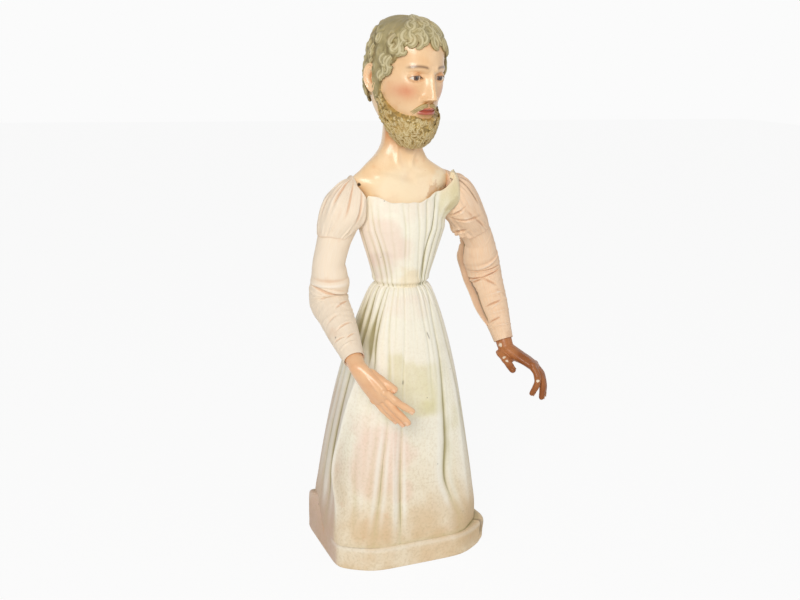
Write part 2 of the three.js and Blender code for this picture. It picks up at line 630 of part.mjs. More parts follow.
/** The long sleeve's stations from the seam to the elbow, coming back in line with the core. */
function longSleeveStations(side) {
  return [
    [SEAM_DROP, SEAM_RADIUS, side * SEAM_SHIFT],
    [(SEAM_DROP + aboveElbow) / 2, UPPER_SLEEVE_RADIUS, side * MID_SHIFT],
    [aboveElbow, elbowTube, 0],
    [UPPER_ARM_LENGTH, elbowTube, 0],
  ];
}

const foreSleeveStations = [
  [0, elbowTube, 0],
  [FOREARM_SWELL, FOREARM_RADIUS, 0],
  [(FOREARM_SWELL + sleeveEnd) / 2, (FOREARM_RADIUS + CUFF_RADIUS) / 2, 0],
  [sleeveEnd, CUFF_RADIUS, 0],
];
const towInset = SLEEVE_CLOTH + FIT;
const coreBore = pin(CORE_RADIUS + FIT, -UPPER_ARM_LENGTH, UPPER_ARM_LENGTH);

// Rings of a finger: share of its length, share of its radius, share of its curl
const FINGER_FORM = [
  [0, 1, 0.1],
  [0.24, 1.02, 0.3],
  [0.5, 0.96, 0.62],
  [0.76, 0.88, 1],
  [0.93, 0.72, 1.15],
  [1, 0.36, 1.15],
];

/** A tapered finger from its root: tilted, then a chain of joints that turn towards the palm (+Y). */
function finger(root, length, radius, splay, curl, tilt = 0) {
  const place = root.clone();
  const sideways = vector(Math.cos(splay), 0, Math.sin(splay));
  let travelled = 0;
  const rings = FINGER_FORM.map(([share, thickness, turn]) => {
    const bend = degToRad(tilt + curl * turn);
    const ahead = vector(Math.sin(splay) * Math.cos(bend), Math.sin(bend), -Math.cos(splay) * Math.cos(bend));
    const palmward = new THREE.Vector3().crossVectors(sideways, ahead);
    place.addScaledVector(ahead, (share - travelled) * length);
    travelled = share;
    return ring(FINGER_SIDES, (angle) => place.clone()
      .addScaledVector(sideways, radius * thickness * Math.cos(angle))
      .addScaledVector(palmward, radius * thickness * Math.sin(angle)));
  });
  return loft(rings.reverse());
}

// Fingers: place across the palm from the thumb's side, share of the longest, splay
const FINGERS = [[0.36, 0.86, 7], [0.12, 1, 0], [-0.12, 0.96, -1], [-0.34, 0.8, -2]];
const KNUCKLES_DOWN = 0.92; // share of the palm's length

// Rings of the palm: share of its length, of its width and of its thickness
const PALM_FORM = [[0, 0.72, 1.25], [0.22, 0.82, 1.18], [0.6, 1, 1], [0.9, 1, 0.86], [1.06, 0.82, 0.6]];

/** A hand whose fingers point along -Z and whose palm faces +Y; the thumb is on the given side. */
function handForm(thumbSide, curls, thumb) {
  const palm = loft(PALM_FORM.toReversed().map(([share, wide, thick]) => {
    const edge = (angle) => ovalRadius(wide * PALM_WIDTH / 2, thick * PALM_THICKNESS / 2, angle);
    return ring(PALM_SIDES, (angle) => polar(edge(angle), angle, -share * PALM_LENGTH));
  }));
  const fingers = FINGERS.map(([across, share, splay], i) => finger(
    vector(thumbSide * across * PALM_WIDTH, 0, -PALM_LENGTH * KNUCKLES_DOWN),
    FINGER_LENGTH * share, FINGER_RADIUS, degToRad(thumbSide * splay), curls[i],
  ));
  const thumbRoot = vector(
    thumbSide * PALM_WIDTH * thumb.across, PALM_THICKNESS * thumb.palmward, -PALM_LENGTH * thumb.down,
  );
  const thumbForm = finger(
    thumbRoot, THUMB_LENGTH, THUMB_RADIUS, degToRad(thumbSide * thumb.splay), thumb.curl, thumb.tilt,
  );
  return join(palm, ...fingers, thumbForm);
}

/** One arm: a canted upper arm on the axle, a forearm on the elbow pin and a hand on its peg. */
function addArm({ name, side, lift, swing, elbowTurn, elbowBend, hand, curls, thumb }) {
  const shoulder = new THREE.Group();
  shoulder.name = `${name}_shoulder`;
  shoulder.position.set(side * shoulderReach, AXLE_SET_BACK, axleHeight);
  const upperArm = new THREE.Group();
  upperArm.rotation.set(degToRad(swing), -side * degToRad(lift), 0);
  const elbow = new THREE.Group();
  elbow.name = `${name}_elbow`;
  elbow.position.z = -UPPER_ARM_LENGTH;
  elbow.rotation.set(-degToRad(elbowBend), 0, degToRad(elbowTurn), "ZXY");
  const wrist = new THREE.Group();
  wrist.name = `${name}_wrist`;
  wrist.position.z = -FOREARM_LENGTH;
  figure.add(shoulder);
  shoulder.add(upperArm);
  upperArm.add(elbow);
  elbow.add(wrist);

  const fromShoulder = upperArm.quaternion.clone().invert();
  const atElbow = (geometry) => geometry.rotateZ(degToRad(elbowTurn)).translate(0, 0, -UPPER_ARM_LENGTH);
  const cap = pin(CAP_RADIUS, 0, CAP_THICKNESS).rotateY(side * Math.PI / 2);
  const capBore = crossPin(AXLE_RADIUS + FIT, CAP_THICKNESS / 2 + FIT);
  const capReach = shoulderReach + ARM_EYE_WIDTH / 2 + FIT;
  const capMesh = add(`axle_cap_${name}`, cut(cap, capBore), wood);
  capMesh.position.set(side * capReach, AXLE_SET_BACK, axleHeight);

  // Upper arm: an eye on the axle, a round core, a fork at the elbow
  const eye = crossPin(ARM_EYE_RADIUS, ARM_EYE_WIDTH / 2).applyQuaternion(fromShoulder);
  const eyeBore = crossPin(AXLE_RADIUS + RUNNING_FIT, ARM_EYE_WIDTH).applyQuaternion(fromShoulder);
  const capClear = pin(CAP_RADIUS + RUNNING_FIT, ARM_EYE_WIDTH / 2, 2 * ARM_EYE_WIDTH)
    .rotateY(side * Math.PI / 2)
    .applyQuaternion(fromShoulder);
  const upperCore = pin(CORE_RADIUS, -UPPER_ARM_LENGTH + FORK_LENGTH - CORE_RADIUS, 0);
  const fork = join(
    crossPin(KNUCKLE_RADIUS, cheekReach),
    box(2 * cheekReach, 2 * KNUCKLE_RADIUS, FORK_LENGTH).translate(0, 0, FORK_LENGTH / 2),
  );
  const forkSlot = box(TONGUE_THICKNESS + 2 * FIT, 4 * KNUCKLE_RADIUS, 2 * knuckleClear + KNUCKLE_RADIUS)
    .translate(0, 0, -KNUCKLE_RADIUS / 2);
  const pinBore = crossPin(ELBOW_PIN_RADIUS + FIT, 2 * cheekReach);
  add(`upper_arm_core_${name}`, cut(
    join(eye, upperCore, atElbow(fork)),
    eyeBore, capClear, atElbow(forkSlot), atElbow(pinBore.clone()),
  ), wood, upperArm);

  // Upper sleeves and padding
  const reach = 4 * UPPER_ARM_LENGTH;
  const armhole = box(reach, reach, reach)
    .translate(-side * (reach / 2 + shoulderReach - armholeReach), 0, 0)
    .applyQuaternion(fromShoulder);
  const puff = puffStations(side);
  const puffHollow = stretched(puff, -SLEEVE_CLOTH, FIT);
  add(`puff_sleeve_${name}`, cut(
    gatheredLimb(puff), limb(puffHollow, SLEEVE_CLOTH), armhole,
  ), sleeveCotton, upperArm);
  const sleeve = longSleeveStations(side);
  const elbowClear = ball(ELBOW_RADIUS + RUNNING_FIT).translate(0, 0, -UPPER_ARM_LENGTH);
  const halfBend = degToRad(ELBOW_BEND_MAX / 2);
  const upperMitre = atElbow(mitre(-halfBend, UPPER_ARM_LENGTH));
  add(`long_sleeve_upper_${name}`, cut(
    limb(sleeve, 0), limb(stretched(sleeve, FIT, FIT), SLEEVE_CLOTH), elbowClear, upperMitre,
  ), sleeveCotton, upperArm);
  const towTop = ARM_EYE_RADIUS + CAP_THICKNESS;
  const towEnd = [aboveElbow - RUNNING_FIT, elbowTube - RUNNING_FIT, 0];
  const towStations = [[towTop, SEAM_RADIUS, 0], ...sleeve.slice(0, 2), towEnd];
  add(`upper_arm_tow_${name}`, cut(limb(towStations, towInset), coreBore, armhole), tow, upperArm);

  // Forearm: a tongue in the fork, a core with a socket for the hand's peg
  const pinMesh = add(`elbow_pin_${name}`, crossPin(ELBOW_PIN_RADIUS, cheekReach), iron, upperArm);
  pinMesh.position.z = -UPPER_ARM_LENGTH;
  pinMesh.rotation.z = degToRad(elbowTurn);
  const tongue = join(
    crossPin(KNUCKLE_RADIUS, TONGUE_THICKNESS / 2),
    box(TONGUE_THICKNESS, 2 * CORE_RADIUS - FIT, 2 * KNUCKLE_RADIUS).translate(0, 0, -KNUCKLE_RADIUS),
  );
  const foreCore = pin(CORE_RADIUS, -coreEnd, -knuckleClear - FIT);
  const pegSocket = pin(PEG_RADIUS + RUNNING_FIT, -coreEnd - FIT, -coreEnd + PEG_LENGTH + FIT);
  add(`forearm_core_${name}`, cut(join(tongue, foreCore), pinBore, pegSocket), wood, elbow);

  const foreMitre = mitre(Math.PI + halfBend, UPPER_ARM_LENGTH);
  const sleeveTube = cut(limb(foreSleeveStations, 0), foreMitre);
  const tubeHollow = limb(stretched(foreSleeveStations, 0, FIT), SLEEVE_CLOTH);
  add(`long_sleeve_fore_${name}`, cut(
    join(sleeveTube, ball(ELBOW_RADIUS)), tubeHollow, ball(ELBOW_RADIUS - SLEEVE_CLOTH), elbowSlot(),
  ), sleeveCotton, elbow);
  const foreTowEnds = [[ELBOW_RADIUS, FOREARM_RADIUS, 0], [coreEnd, CUFF_RADIUS, 0]];
  const foreTow = [foreTowEnds[0], ...foreSleeveStations.slice(1, 3), foreTowEnds[1]];
  add(`forearm_tow_${name}`, cut(limb(foreTow, towInset), coreBore), tow, elbow);

  // Hand: peg and bare wrist in line with the forearm, then the hand set at its own angle
  const wristTop = FOREARM_LENGTH - coreEnd - FIT;
  const peg = pin(PEG_RADIUS, 0, wristTop + PEG_LENGTH);
  const bareWrist = turned([[-WRIST_RADIUS, WRIST_RADIUS / 2], [0, WRIST_RADIUS], [wristTop, WRIST_RADIUS]]);
  const setting = new THREE.Euler(degToRad(hand.bend), degToRad(hand.lean), degToRad(hand.twist), "ZXY");
  const palm = handForm(-side, curls, thumb).applyQuaternion(new THREE.Quaternion().setFromEuler(setting));
  add(`hand_${name}`, join(peg, bareWrist, palm), fleshPaint, wrist);
}

ARMS.forEach(addArm);

export default figure;
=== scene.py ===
# %% [markdown]
# # Dressing a crib figure
# The imported construction model is the frame: a plinth, a slatted skirt frame, a chest with a hollow
# painted head, and two padded arms with six hinges. This lesson gives each visible piece its
# finished surface. Nothing from the frame is moved: a new piece stands where its solid stands and,
# except for the long sleeves, rides on the same body, so the arms still turn at the shoulder, the
# elbow and the wrist.

# %% Load the frame
import json
import math

import bmesh
import bpy
import numpy as np
from mathutils import Matrix, Vector


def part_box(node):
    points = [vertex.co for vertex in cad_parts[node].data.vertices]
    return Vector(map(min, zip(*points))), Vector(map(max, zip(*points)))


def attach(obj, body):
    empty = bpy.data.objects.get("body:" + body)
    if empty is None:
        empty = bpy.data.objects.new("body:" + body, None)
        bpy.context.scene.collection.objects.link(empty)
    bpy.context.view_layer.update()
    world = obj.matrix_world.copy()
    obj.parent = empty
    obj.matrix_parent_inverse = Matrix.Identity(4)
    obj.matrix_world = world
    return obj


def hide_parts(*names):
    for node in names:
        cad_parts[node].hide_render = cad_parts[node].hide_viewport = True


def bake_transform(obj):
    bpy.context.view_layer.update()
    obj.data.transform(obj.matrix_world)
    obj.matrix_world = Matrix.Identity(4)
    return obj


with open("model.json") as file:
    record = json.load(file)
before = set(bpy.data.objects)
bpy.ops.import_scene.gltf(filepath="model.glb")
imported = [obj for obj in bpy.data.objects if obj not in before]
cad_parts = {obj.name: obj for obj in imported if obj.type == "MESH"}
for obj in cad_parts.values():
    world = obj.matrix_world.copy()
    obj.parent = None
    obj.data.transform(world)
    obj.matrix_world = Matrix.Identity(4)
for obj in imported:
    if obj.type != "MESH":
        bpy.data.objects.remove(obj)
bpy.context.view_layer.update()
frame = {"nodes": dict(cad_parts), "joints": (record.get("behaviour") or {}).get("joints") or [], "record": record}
mm = 0.001
joints = {joint["name"]: joint for joint in frame["joints"]}

# %% [markdown]
# ## The camera
# The photograph was taken from the figure's right front, level with its forehead and looking down,
# with the camera tipped a degree or two. A camera can be aimed with a constraint, but a roll is
# clearer when the three axes of the camera are written out and put into its matrix.

# %% Camera
VIEW_AZIMUTH = math.radians(-23.5)
VIEW_PITCH = math.radians(14.9)
VIEW_ROLL = math.radians(1.6)
VIEW_DISTANCE = 1.051
VIEW_HEIGHT = 0.571
IMAGE_WIDTH = 800
FOCAL_PIXELS = 959

upright = Vector((0, 0, 1))
towards_camera = Vector((math.sin(VIEW_AZIMUTH), -math.cos(VIEW_AZIMUTH), 0))
level_right = Vector((math.cos(VIEW_AZIMUTH), math.sin(VIEW_AZIMUTH), 0))
forward = -towards_camera * math.cos(VIEW_PITCH) - upright * math.sin(VIEW_PITCH)
level_up = level_right.cross(forward)
camera_right = level_right * math.cos(VIEW_ROLL) + level_up * math.sin(VIEW_ROLL)
camera_up = level_up * math.cos(VIEW_ROLL) - level_right * math.sin(VIEW_ROLL)

camera = bpy.data.objects.new("camera", bpy.data.cameras.new("camera"))
camera.data.lens = FOCAL_PIXELS / IMAGE_WIDTH * camera.data.sensor_width
turn = Matrix((camera_right, camera_up, -forward)).transposed()
place = towards_camera * VIEW_DISTANCE + upright * VIEW_HEIGHT
camera.matrix_world = Matrix.Translation(place) @ turn.to_4x4()
bpy.context.scene.collection.objects.link(camera)
bpy.context.scene.camera = camera
print("camera: lens", round(camera.data.lens, 1), "mm")

# %% [markdown]
# ## Working with grids of points
# Every new surface here is a grid: a formula gives a point for each pair of parameters, and whole
# arrays are worked out at once. A grid becomes a mesh with one four-sided face per cell. Its seam
# and its poles are closed by welding the points that coincide, and marks such as "valley" are stored
# with the points, so that a finish can paint shade into the bottom of a fold.

# %% Helpers for surfaces


def smooth(value, low, high):
    """0 below low, 1 above high, and an S-shaped rise 3t^2 - 2t^3 between them."""
    t = np.clip((value - low) / (high - low), 0, 1)
    return t * t * (3 - 2 * t)


def mound(distance, width):
    """A round bump, 1 in the middle, that falls off as exp(-(distance / width)^2)."""
    return np.exp(-((distance / width) ** 2))


def between(value, rise, full, fade, gone):
    """1 from full to fade, 0 below rise and above gone, with S-shaped flanks."""
    return smooth(value, rise, full) * smooth(-value, -gone, -fade)


def lerp(first, second, share):
    """The value that lies a share of the way from first to second."""
    return first + (second - first) * share


def curve_through(stations, at):
    """Smooth curves through stations of (place, value, value...): a cubic on each span, whose slope
    at a station is the mean slope of its neighbours. Gives one array for each column of values."""
    table = np.asarray(stations, float)
    places, values = table[:, 0], table[:, 1:]
    slopes = np.gradient(values, places, axis=0)
    span = np.clip(np.searchsorted(places, at) - 1, 0, len(places) - 2)
    width = (places[span + 1] - places[span])[..., None]
    t = np.clip((at - places[span]) / width[..., 0], 0, 1)[..., None]
    start = values[span] * (1 + 2 * t) * (1 - t) ** 2 + slopes[span] * width * t * (1 - t) ** 2
    end = values[span + 1] * t * t * (3 - 2 * t) + slopes[span + 1] * width * t * t * (t - 1)
    return np.moveaxis(start + end, -1, 0)


def ripples(around, along, seed, count, most_turns, most_waves):
    """Unevenness between -1 and 1: the mean of cosines with random whole turns round the piece,
    random waves along it and random phases."""
    draw = np.random.default_rng(seed)
    total = 0
    for _ in range(count):
        turns = draw.integers(1, most_turns + 1)
        waves = draw.uniform(-most_waves, most_waves)
        total = total + np.cos(turns * around + 2 * np.pi * waves * along + draw.uniform(0, 2 * np.pi))
    return total / count


def full_turn(steps, start=-np.pi):
    """A row of angles once round, whose first and last angles are the same direction."""
    return np.linspace(start, start + 2 * np.pi, steps + 1)[None, :]


def unit(vectors):
    """Vectors of length 1 in the same directions."""
    return vectors / np.linalg.norm(vectors, axis=-1, keepdims=True)


def stacked(x, y, z):
    """Points from three arrays of coordinates that may be of different but matching shapes."""
    return np.stack(np.broadcast_arrays(x, y, z), -1)

# %% Helpers for meshes


def cloth_places(across, along):
    """Cloth coordinates for a finish: metres across the cloth and along it."""
    return stacked(across, along, 0.0)[..., :2]


def patch(points, uv=None, flip=False, **marks):
    """One grid of points with its cloth coordinates and its marks."""
    return {"points": points, "uv": uv, "flip": flip, "marks": marks}


def mesh_of(name, patches, weld=1e-6):
    """Joins patches into one mesh: the corners of a face run along the row, then up the column."""
    points, faces, uvs, marks, start = [], [], [], {}, 0
    for each in patches:
        rows, columns = each["points"].shape[:2]
        number = start + np.arange(rows * columns).reshape(rows, columns)
        cells = np.stack([number[:-1, :-1], number[:-1, 1:], number[1:, 1:], number[1:, :-1]], -1)
        cells = cells.reshape(-1, 4)
        faces.append(cells[:, ::-1] if each["flip"] else cells)
        points.append(each["points"].reshape(-1, 3))
        uv = np.zeros((rows, columns, 2)) if each["uv"] is None else each["uv"]
        uvs.append(uv.reshape(-1, 2))
        for mark, value in each["marks"].items():
            field = marks.setdefault(mark, {})
            field[start] = np.broadcast_to(value, (rows, columns)).ravel()
        start += rows * columns
    mesh = bpy.data.meshes.new(name)
    mesh.from_pydata(np.concatenate(points).tolist(), [], np.concatenate(faces).tolist())
    corner = np.zeros(len(mesh.loops), int)
    mesh.loops.foreach_get("vertex_index", corner)
    layer = mesh.uv_layers.new(name="cloth")
    layer.data.foreach_set("uv", np.concatenate(uvs)[corner].ravel())
    for mark, field in marks.items():
        values = np.zeros(start, np.float32)
        for first, part in field.items():
            values[first:first + len(part)] = part
        mesh.attributes.new(mark, "FLOAT", "POINT").data.foreach_set("value", values)
    whole = bmesh.new()
    whole.from_mesh(mesh)
    bmesh.ops.remove_doubles(whole, verts=whole.verts, dist=weld)
    whole.to_mesh(mesh)
    whole.free()
    mesh.shade_smooth()
    return mesh


def add_piece(name, shape, finish):
    """An object at the origin for a mesh or for patches, with its finish."""
    mesh = shape if isinstance(shape, bpy.types.Mesh) else mesh_of(name, shape)
    mesh.materials.clear()
    mesh.materials.append(finish)
    piece = bpy.data.objects.new(name, mesh)
    bpy.context.scene.collection.objects.link(piece)
    print(name, "has", len(mesh.polygons), "faces")
    return piece


# %% [markdown]
# ## Shader words
# Node trees are easier to read when a node is one short call. Effects that several finishes share,
# the weave of cloth, blotches, stains at one place and small flecks, are node groups. They put out
# masks and heights only: the shader itself stays in each material.

# %% Helpers for finishes


def paint(red, green, blue):
    """A colour from 0 to 255 as it is seen, turned into the linear values that a shader mixes."""
    seen = np.array([red, green, blue]) / 255
    linear = np.where(seen <= 0.04045, seen / 12.92, ((seen + 0.055) / 1.055) ** 2.4)
    return (*linear.tolist(), 1.0)


def node(tree, kind, inputs=None, **settings):
    """One shader node. Inputs maps a socket's name or number to a value or to another node's socket."""
    made = tree.nodes.new("ShaderNode" + kind)
    for key, value in settings.items():
        setattr(made, key, value)
    for key, value in (inputs or {}).items():
        if isinstance(value, bpy.types.NodeSocket):
            tree.links.new(value, made.inputs[key])
        else:
            made.inputs[key].default_value = value
    return made


def sums(tree, operation, *values):
    """A Math node's result."""
    return node(tree, "Math", dict(enumerate(values)), operation=operation).outputs[0]


def mixed(tree, share, first, second, blend="MIX"):
    """Two colours mixed by a share from 0 to 1."""
    made = node(tree, "Mix", {0: share, 6: first, 7: second}, data_type="RGBA", blend_type=blend)
    return made.outputs[2]


def ranged(tree, value, low, high, to_low=0.0, to_high=1.0):
    """A value carried smoothly from the range low to high into another range."""
    numbers = {0: value, 1: low, 2: high, 3: to_low, 4: to_high}
    return node(tree, "MapRange", numbers, interpolation_type="SMOOTHSTEP").outputs[0]


def noise(tree, vector, size, detail=4.0):
    """Cloudy noise whose clouds are about one size across."""
    scale = sums(tree, "DIVIDE", 1.0, size)
    made = node(tree, "TexNoise", {"Vector": vector, "Scale": scale, "Detail": detail})
    return made.outputs["Fac"]


def mark(tree, name):
    """A value that was stored with the points."""
    return node(tree, "Attribute", attribute_name=name).outputs["Fac"]


def group(name, inputs, output):
    """An empty node group with named inputs, each with its kind and value, and one value as output."""
    tree = bpy.data.node_groups.new(name, "ShaderNodeTree")
    for socket, kind, value in inputs:
        made = tree.interface.new_socket(socket, in_out="INPUT", socket_type=kind)
        made.default_value = value
    tree.interface.new_socket(output, in_out="OUTPUT", socket_type="NodeSocketFloat")
    return tree, tree.nodes.new("NodeGroupInput").outputs, tree.nodes.new("NodeGroupOutput").inputs


def placed(tree, group_tree, **inputs):
    """A node group placed in a material with its own values."""
    return node(tree, "Group", inputs, node_tree=group_tree).outputs[0]


VECTOR, FLOAT = "NodeSocketVector", "NodeSocketFloat"

# %% Shared effects
weave, given, out = group(
    "weave", [("Vector", VECTOR, (0, 0, 0)), ("Thread", FLOAT, 0.6 * mm)], "Height")
threads = node(weave, "VectorMath", {0: given["Vector"], 1: given["Thread"]}, operation="DIVIDE")
split = node(weave, "SeparateXYZ", {0: threads.outputs[0]})
waves = [sums(weave, "SINE", sums(weave, "MULTIPLY", split.outputs[axis], math.pi)) for axis in (0, 1)]
over_under = sums(weave, "MULTIPLY", *waves)
weave.links.new(sums(weave, "MULTIPLY_ADD", over_under, 0.5, 0.5), out[0])

blotches, given, out = group(
    "blotches", [("Vector", VECTOR, (0, 0, 0)), ("Size", FLOAT, 0.05), ("Amount", FLOAT, 0.5)], "Mask")
clouds = noise(blotches, given["Vector"], given["Size"], 6.0)
low = sums(blotches, "MULTIPLY_ADD", given["Amount"], -0.3, 0.68)
blotches.links.new(ranged(blotches, clouds, low, sums(blotches, "ADD", low, 0.2)), out[0])

stain, given, out = group("stain", [
    ("Vector", VECTOR, (0, 0, 0)), ("Centre", VECTOR, (0, 0, 0)),
    ("Radius", FLOAT, 0.02), ("Ragged", FLOAT, 0.5),
], "Mask")
reach = node(stain, "VectorMath", {0: given["Vector"], 1: given["Centre"]}, operation="DISTANCE")
ragged = sums(stain, "SUBTRACT", noise(stain, given["Vector"], given["Radius"]), 0.5)
share = sums(stain, "DIVIDE", reach.outputs["Value"], given["Radius"])
uneven = sums(stain, "MULTIPLY_ADD", ragged, sums(stain, "MULTIPLY", given["Ragged"], 2.0), share)
stain.links.new(ranged(stain, uneven, 0.55, 1.0, 1.0, 0.0), out[0])

flecks, given, out = group(
    "flecks", [("Vector", VECTOR, (0, 0, 0)), ("Spacing", FLOAT, 0.02), ("Amount", FLOAT, 0.2)], "Mask")
scale = sums(flecks, "DIVIDE", 1.0, given["Spacing"])
cells = node(flecks, "TexVoronoi", {"Vector": given["Vector"], "Scale": scale})
chance = node(flecks, "SeparateColor", {0: cells.outputs["Color"]})
dots = ranged(flecks, cells.outputs["Distance"], 0.03, 0.08, 1.0, 0.0)
kept = sums(flecks, "LESS_THAN", chance.outputs[0], given["Amount"])
flecks.links.new(sums(flecks, "MULTIPLY", dots, kept), out[0])
print("shared effects:", weave.name, blotches.name, stain.name, flecks.name)


# %% [markdown]
# ## Light, floor and backdrop
# The figure was photographed against plain white, lit softly from the front and a little from its
# right. One large key lamp, a weak fill and an even sky do that. Rays that the camera, a mirror or
# a glass sends out see a white sky, so the backdrop is white without more light on the figure.

# %% Light and floor
LIT_POINT = Vector((0, 0, 0.32))
KEY_PLACE, KEY_POWER, KEY_SIZE = Vector((-1.05, -1.5, 1.2)), 22.5, 0.9
FILL_PLACE, FILL_POWER, FILL_SIZE = Vector((1.3, -1.2, 0.9)), 4.0, 1.2
SKY_STRENGTH = 0.37
BACKDROP_WHITE = 0.965
FLOOR_GLOW, GLOW_SHARE = 0.988, 0.93
FLOOR_REACH = 6.0


def area_lamp(name, place, power, size):
    """A square lamp that is turned towards the lit point."""
    lamp = bpy.data.lights.new(name, "AREA")
    lamp.energy, lamp.size = power, size
    held = bpy.data.objects.new(name, lamp)
    held.location = place
    held.rotation_mode = "QUATERNION"
    held.rotation_quaternion = (LIT_POINT - place).to_track_quat("-Z", "Y")
    bpy.context.scene.collection.objects.link(held)


def seen_directly(tree):
    """1 for rays from the camera, a reflection or a glass, and 0 for rays that only carry light."""
    rays = node(tree, "LightPath").outputs
    mirrored = sums(tree, "MAXIMUM", rays["Is Glossy Ray"], rays["Is Transmission Ray"])
    return sums(tree, "MAXIMUM", rays["Is Camera Ray"], mirrored)


area_lamp("key_lamp", KEY_PLACE, KEY_POWER, KEY_SIZE)
area_lamp("fill_lamp", FILL_PLACE, FILL_POWER, FILL_SIZE)
world = bpy.data.worlds.new("white_studio")
world.use_nodes = True
sky = world.node_tree
lightness = ranged(sky, seen_directly(sky), 0.0, 1.0, SKY_STRENGTH, BACKDROP_WHITE)
sky.nodes["Background"].inputs["Color"].default_value = (1, 1, 1, 1)
sky.links.new(lightness, sky.nodes["Background"].inputs["Strength"])
bpy.context.scene.world = world
bpy.context.scene.view_settings.view_transform = "Standard"

floor_finish = bpy.data.materials.new("pale_floor")
floor_finish.use_nodes = True
tree = floor_finish.node_tree
tree.nodes.clear()
matt = node(tree, "BsdfDiffuse", {"Color": paint(248, 248, 246)})
glow = node(tree, "Emission", {"Color": (1, 1, 1, 1), "Strength": FLOOR_GLOW})
share = sums(tree, "MULTIPLY", seen_directly(tree), GLOW_SHARE)
both = node(tree, "MixShader", {0: share, 1: matt.outputs[0], 2: glow.outputs[0]})
node(tree, "OutputMaterial", {"Surface": both.outputs[0]})
corner = FLOOR_REACH * np.array([-1.0, 1.0])
floor_points = stacked(corner[None, :], corner[:, None], 0.0)
floor = bpy.data.objects.new("floor", mesh_of("floor", [patch(floor_points)]))
floor.data.materials.append(floor_finish)
bpy.context.scene.collection.objects.link(floor)
print("floor:", FLOOR_REACH * 2, "m square")

# %% [markdown]
# ## The finishes
# A finish is a tone under several coats, each with a mask that says where it lies. Most coats stand
# for paint, grime and stains that built up on the real figure; others are painted shade in folds and
# hollows and painted highlight on crests. Masks come from noise, from marks that were stored with
# the points, or from a stain at one place, so no picture is needed.

# %% Finish helpers


def new_finish(name, roughness, **sockets):
    """A material with one Principled shader, and its tree, shader and texture coordinates."""
    made = bpy.data.materials.new(name)
    made.use_nodes = True
    tree = made.node_tree
    shader = tree.nodes["Principled BSDF"]
    shader.inputs["Roughness"].default_value = roughness
    for key, value in sockets.items():
        shader.inputs[key.replace("_", " ")].default_value = value
    return made, tree, shader, node(tree, "TexCoord").outputs


def put(tree, shader, **values):
    """Links values to the shader's sockets, whose names are written with underscores."""
    for key, value in values.items():
        tree.links.new(value, shader.inputs[key.replace("_", " ")])


def put_bump(tree, shader, height, depth):
    """Feeds a height from 0 to 1 through a bump of a given depth to the shader's normal."""
    bump = node(tree, "Bump", {"Height": height, "Distance": depth, "Strength": 0.6})
    put(tree, shader, Normal=bump.outputs[0])


def layered(tree, colour, *coats):
    """A colour under coats, each (mask, strength, tint), one over the other."""
    for mask, strength, tint in coats:
        colour = mixed(tree, sums(tree, "MULTIPLY", mask, strength), colour, tint)
    return colour


def stained(tree, where, stains):
    """Coats for stains, each of which is (centre, radius, raggedness, tint, strength)."""
    return [
        (placed(tree, stain, Vector=where, Centre=centre, Radius=radius, Ragged=ragged), strength, tint)
        for centre, radius, ragged, tint, strength in stains
    ]


# %% [markdown]
# ## Stiffened cloth
# Skirt, bodice and hem are one material on the real figure: linen soaked in size and gesso, once
# white, now cream with pink and lilac clouds and tan at the foot. Over that lie painted shade, olive
# in the folds and lilac on the figure's right side, and painted highlight on the crests. One noise
# would look like marble, so each kind of wear and each painted shade is a coat of its own.

# %% Stiffened cloth
CREAM = paint(251, 244, 223)
# CREST_WHITE paints pale streaks and the painted highlight on crests; FOLD_SHADE and FOLD_OLIVE are painted shade
# in the folds
CREST_WHITE = paint(255, 251, 240)
FOLD_SHADE = paint(202, 193, 148)
FOLD_OLIVE = paint(140, 126, 74)
PINK_CLOUD = paint(243, 213, 194)
# LILAC is the painted shade on the figure's right side of skirt and hem, and a colour in the bodice's stains
LILAC = paint(204, 170, 158)
STAIN_GREEN = paint(224, 214, 160)
HEM_TAN = paint(222, 190, 146)
RUST = paint(214, 158, 104)
# FLECK_BROWN colours real flecks and the painted shade inside slits, holes and under a lapped end
FLECK_BROWN = paint(92, 74, 52)
GRIME = paint(202, 178, 134)


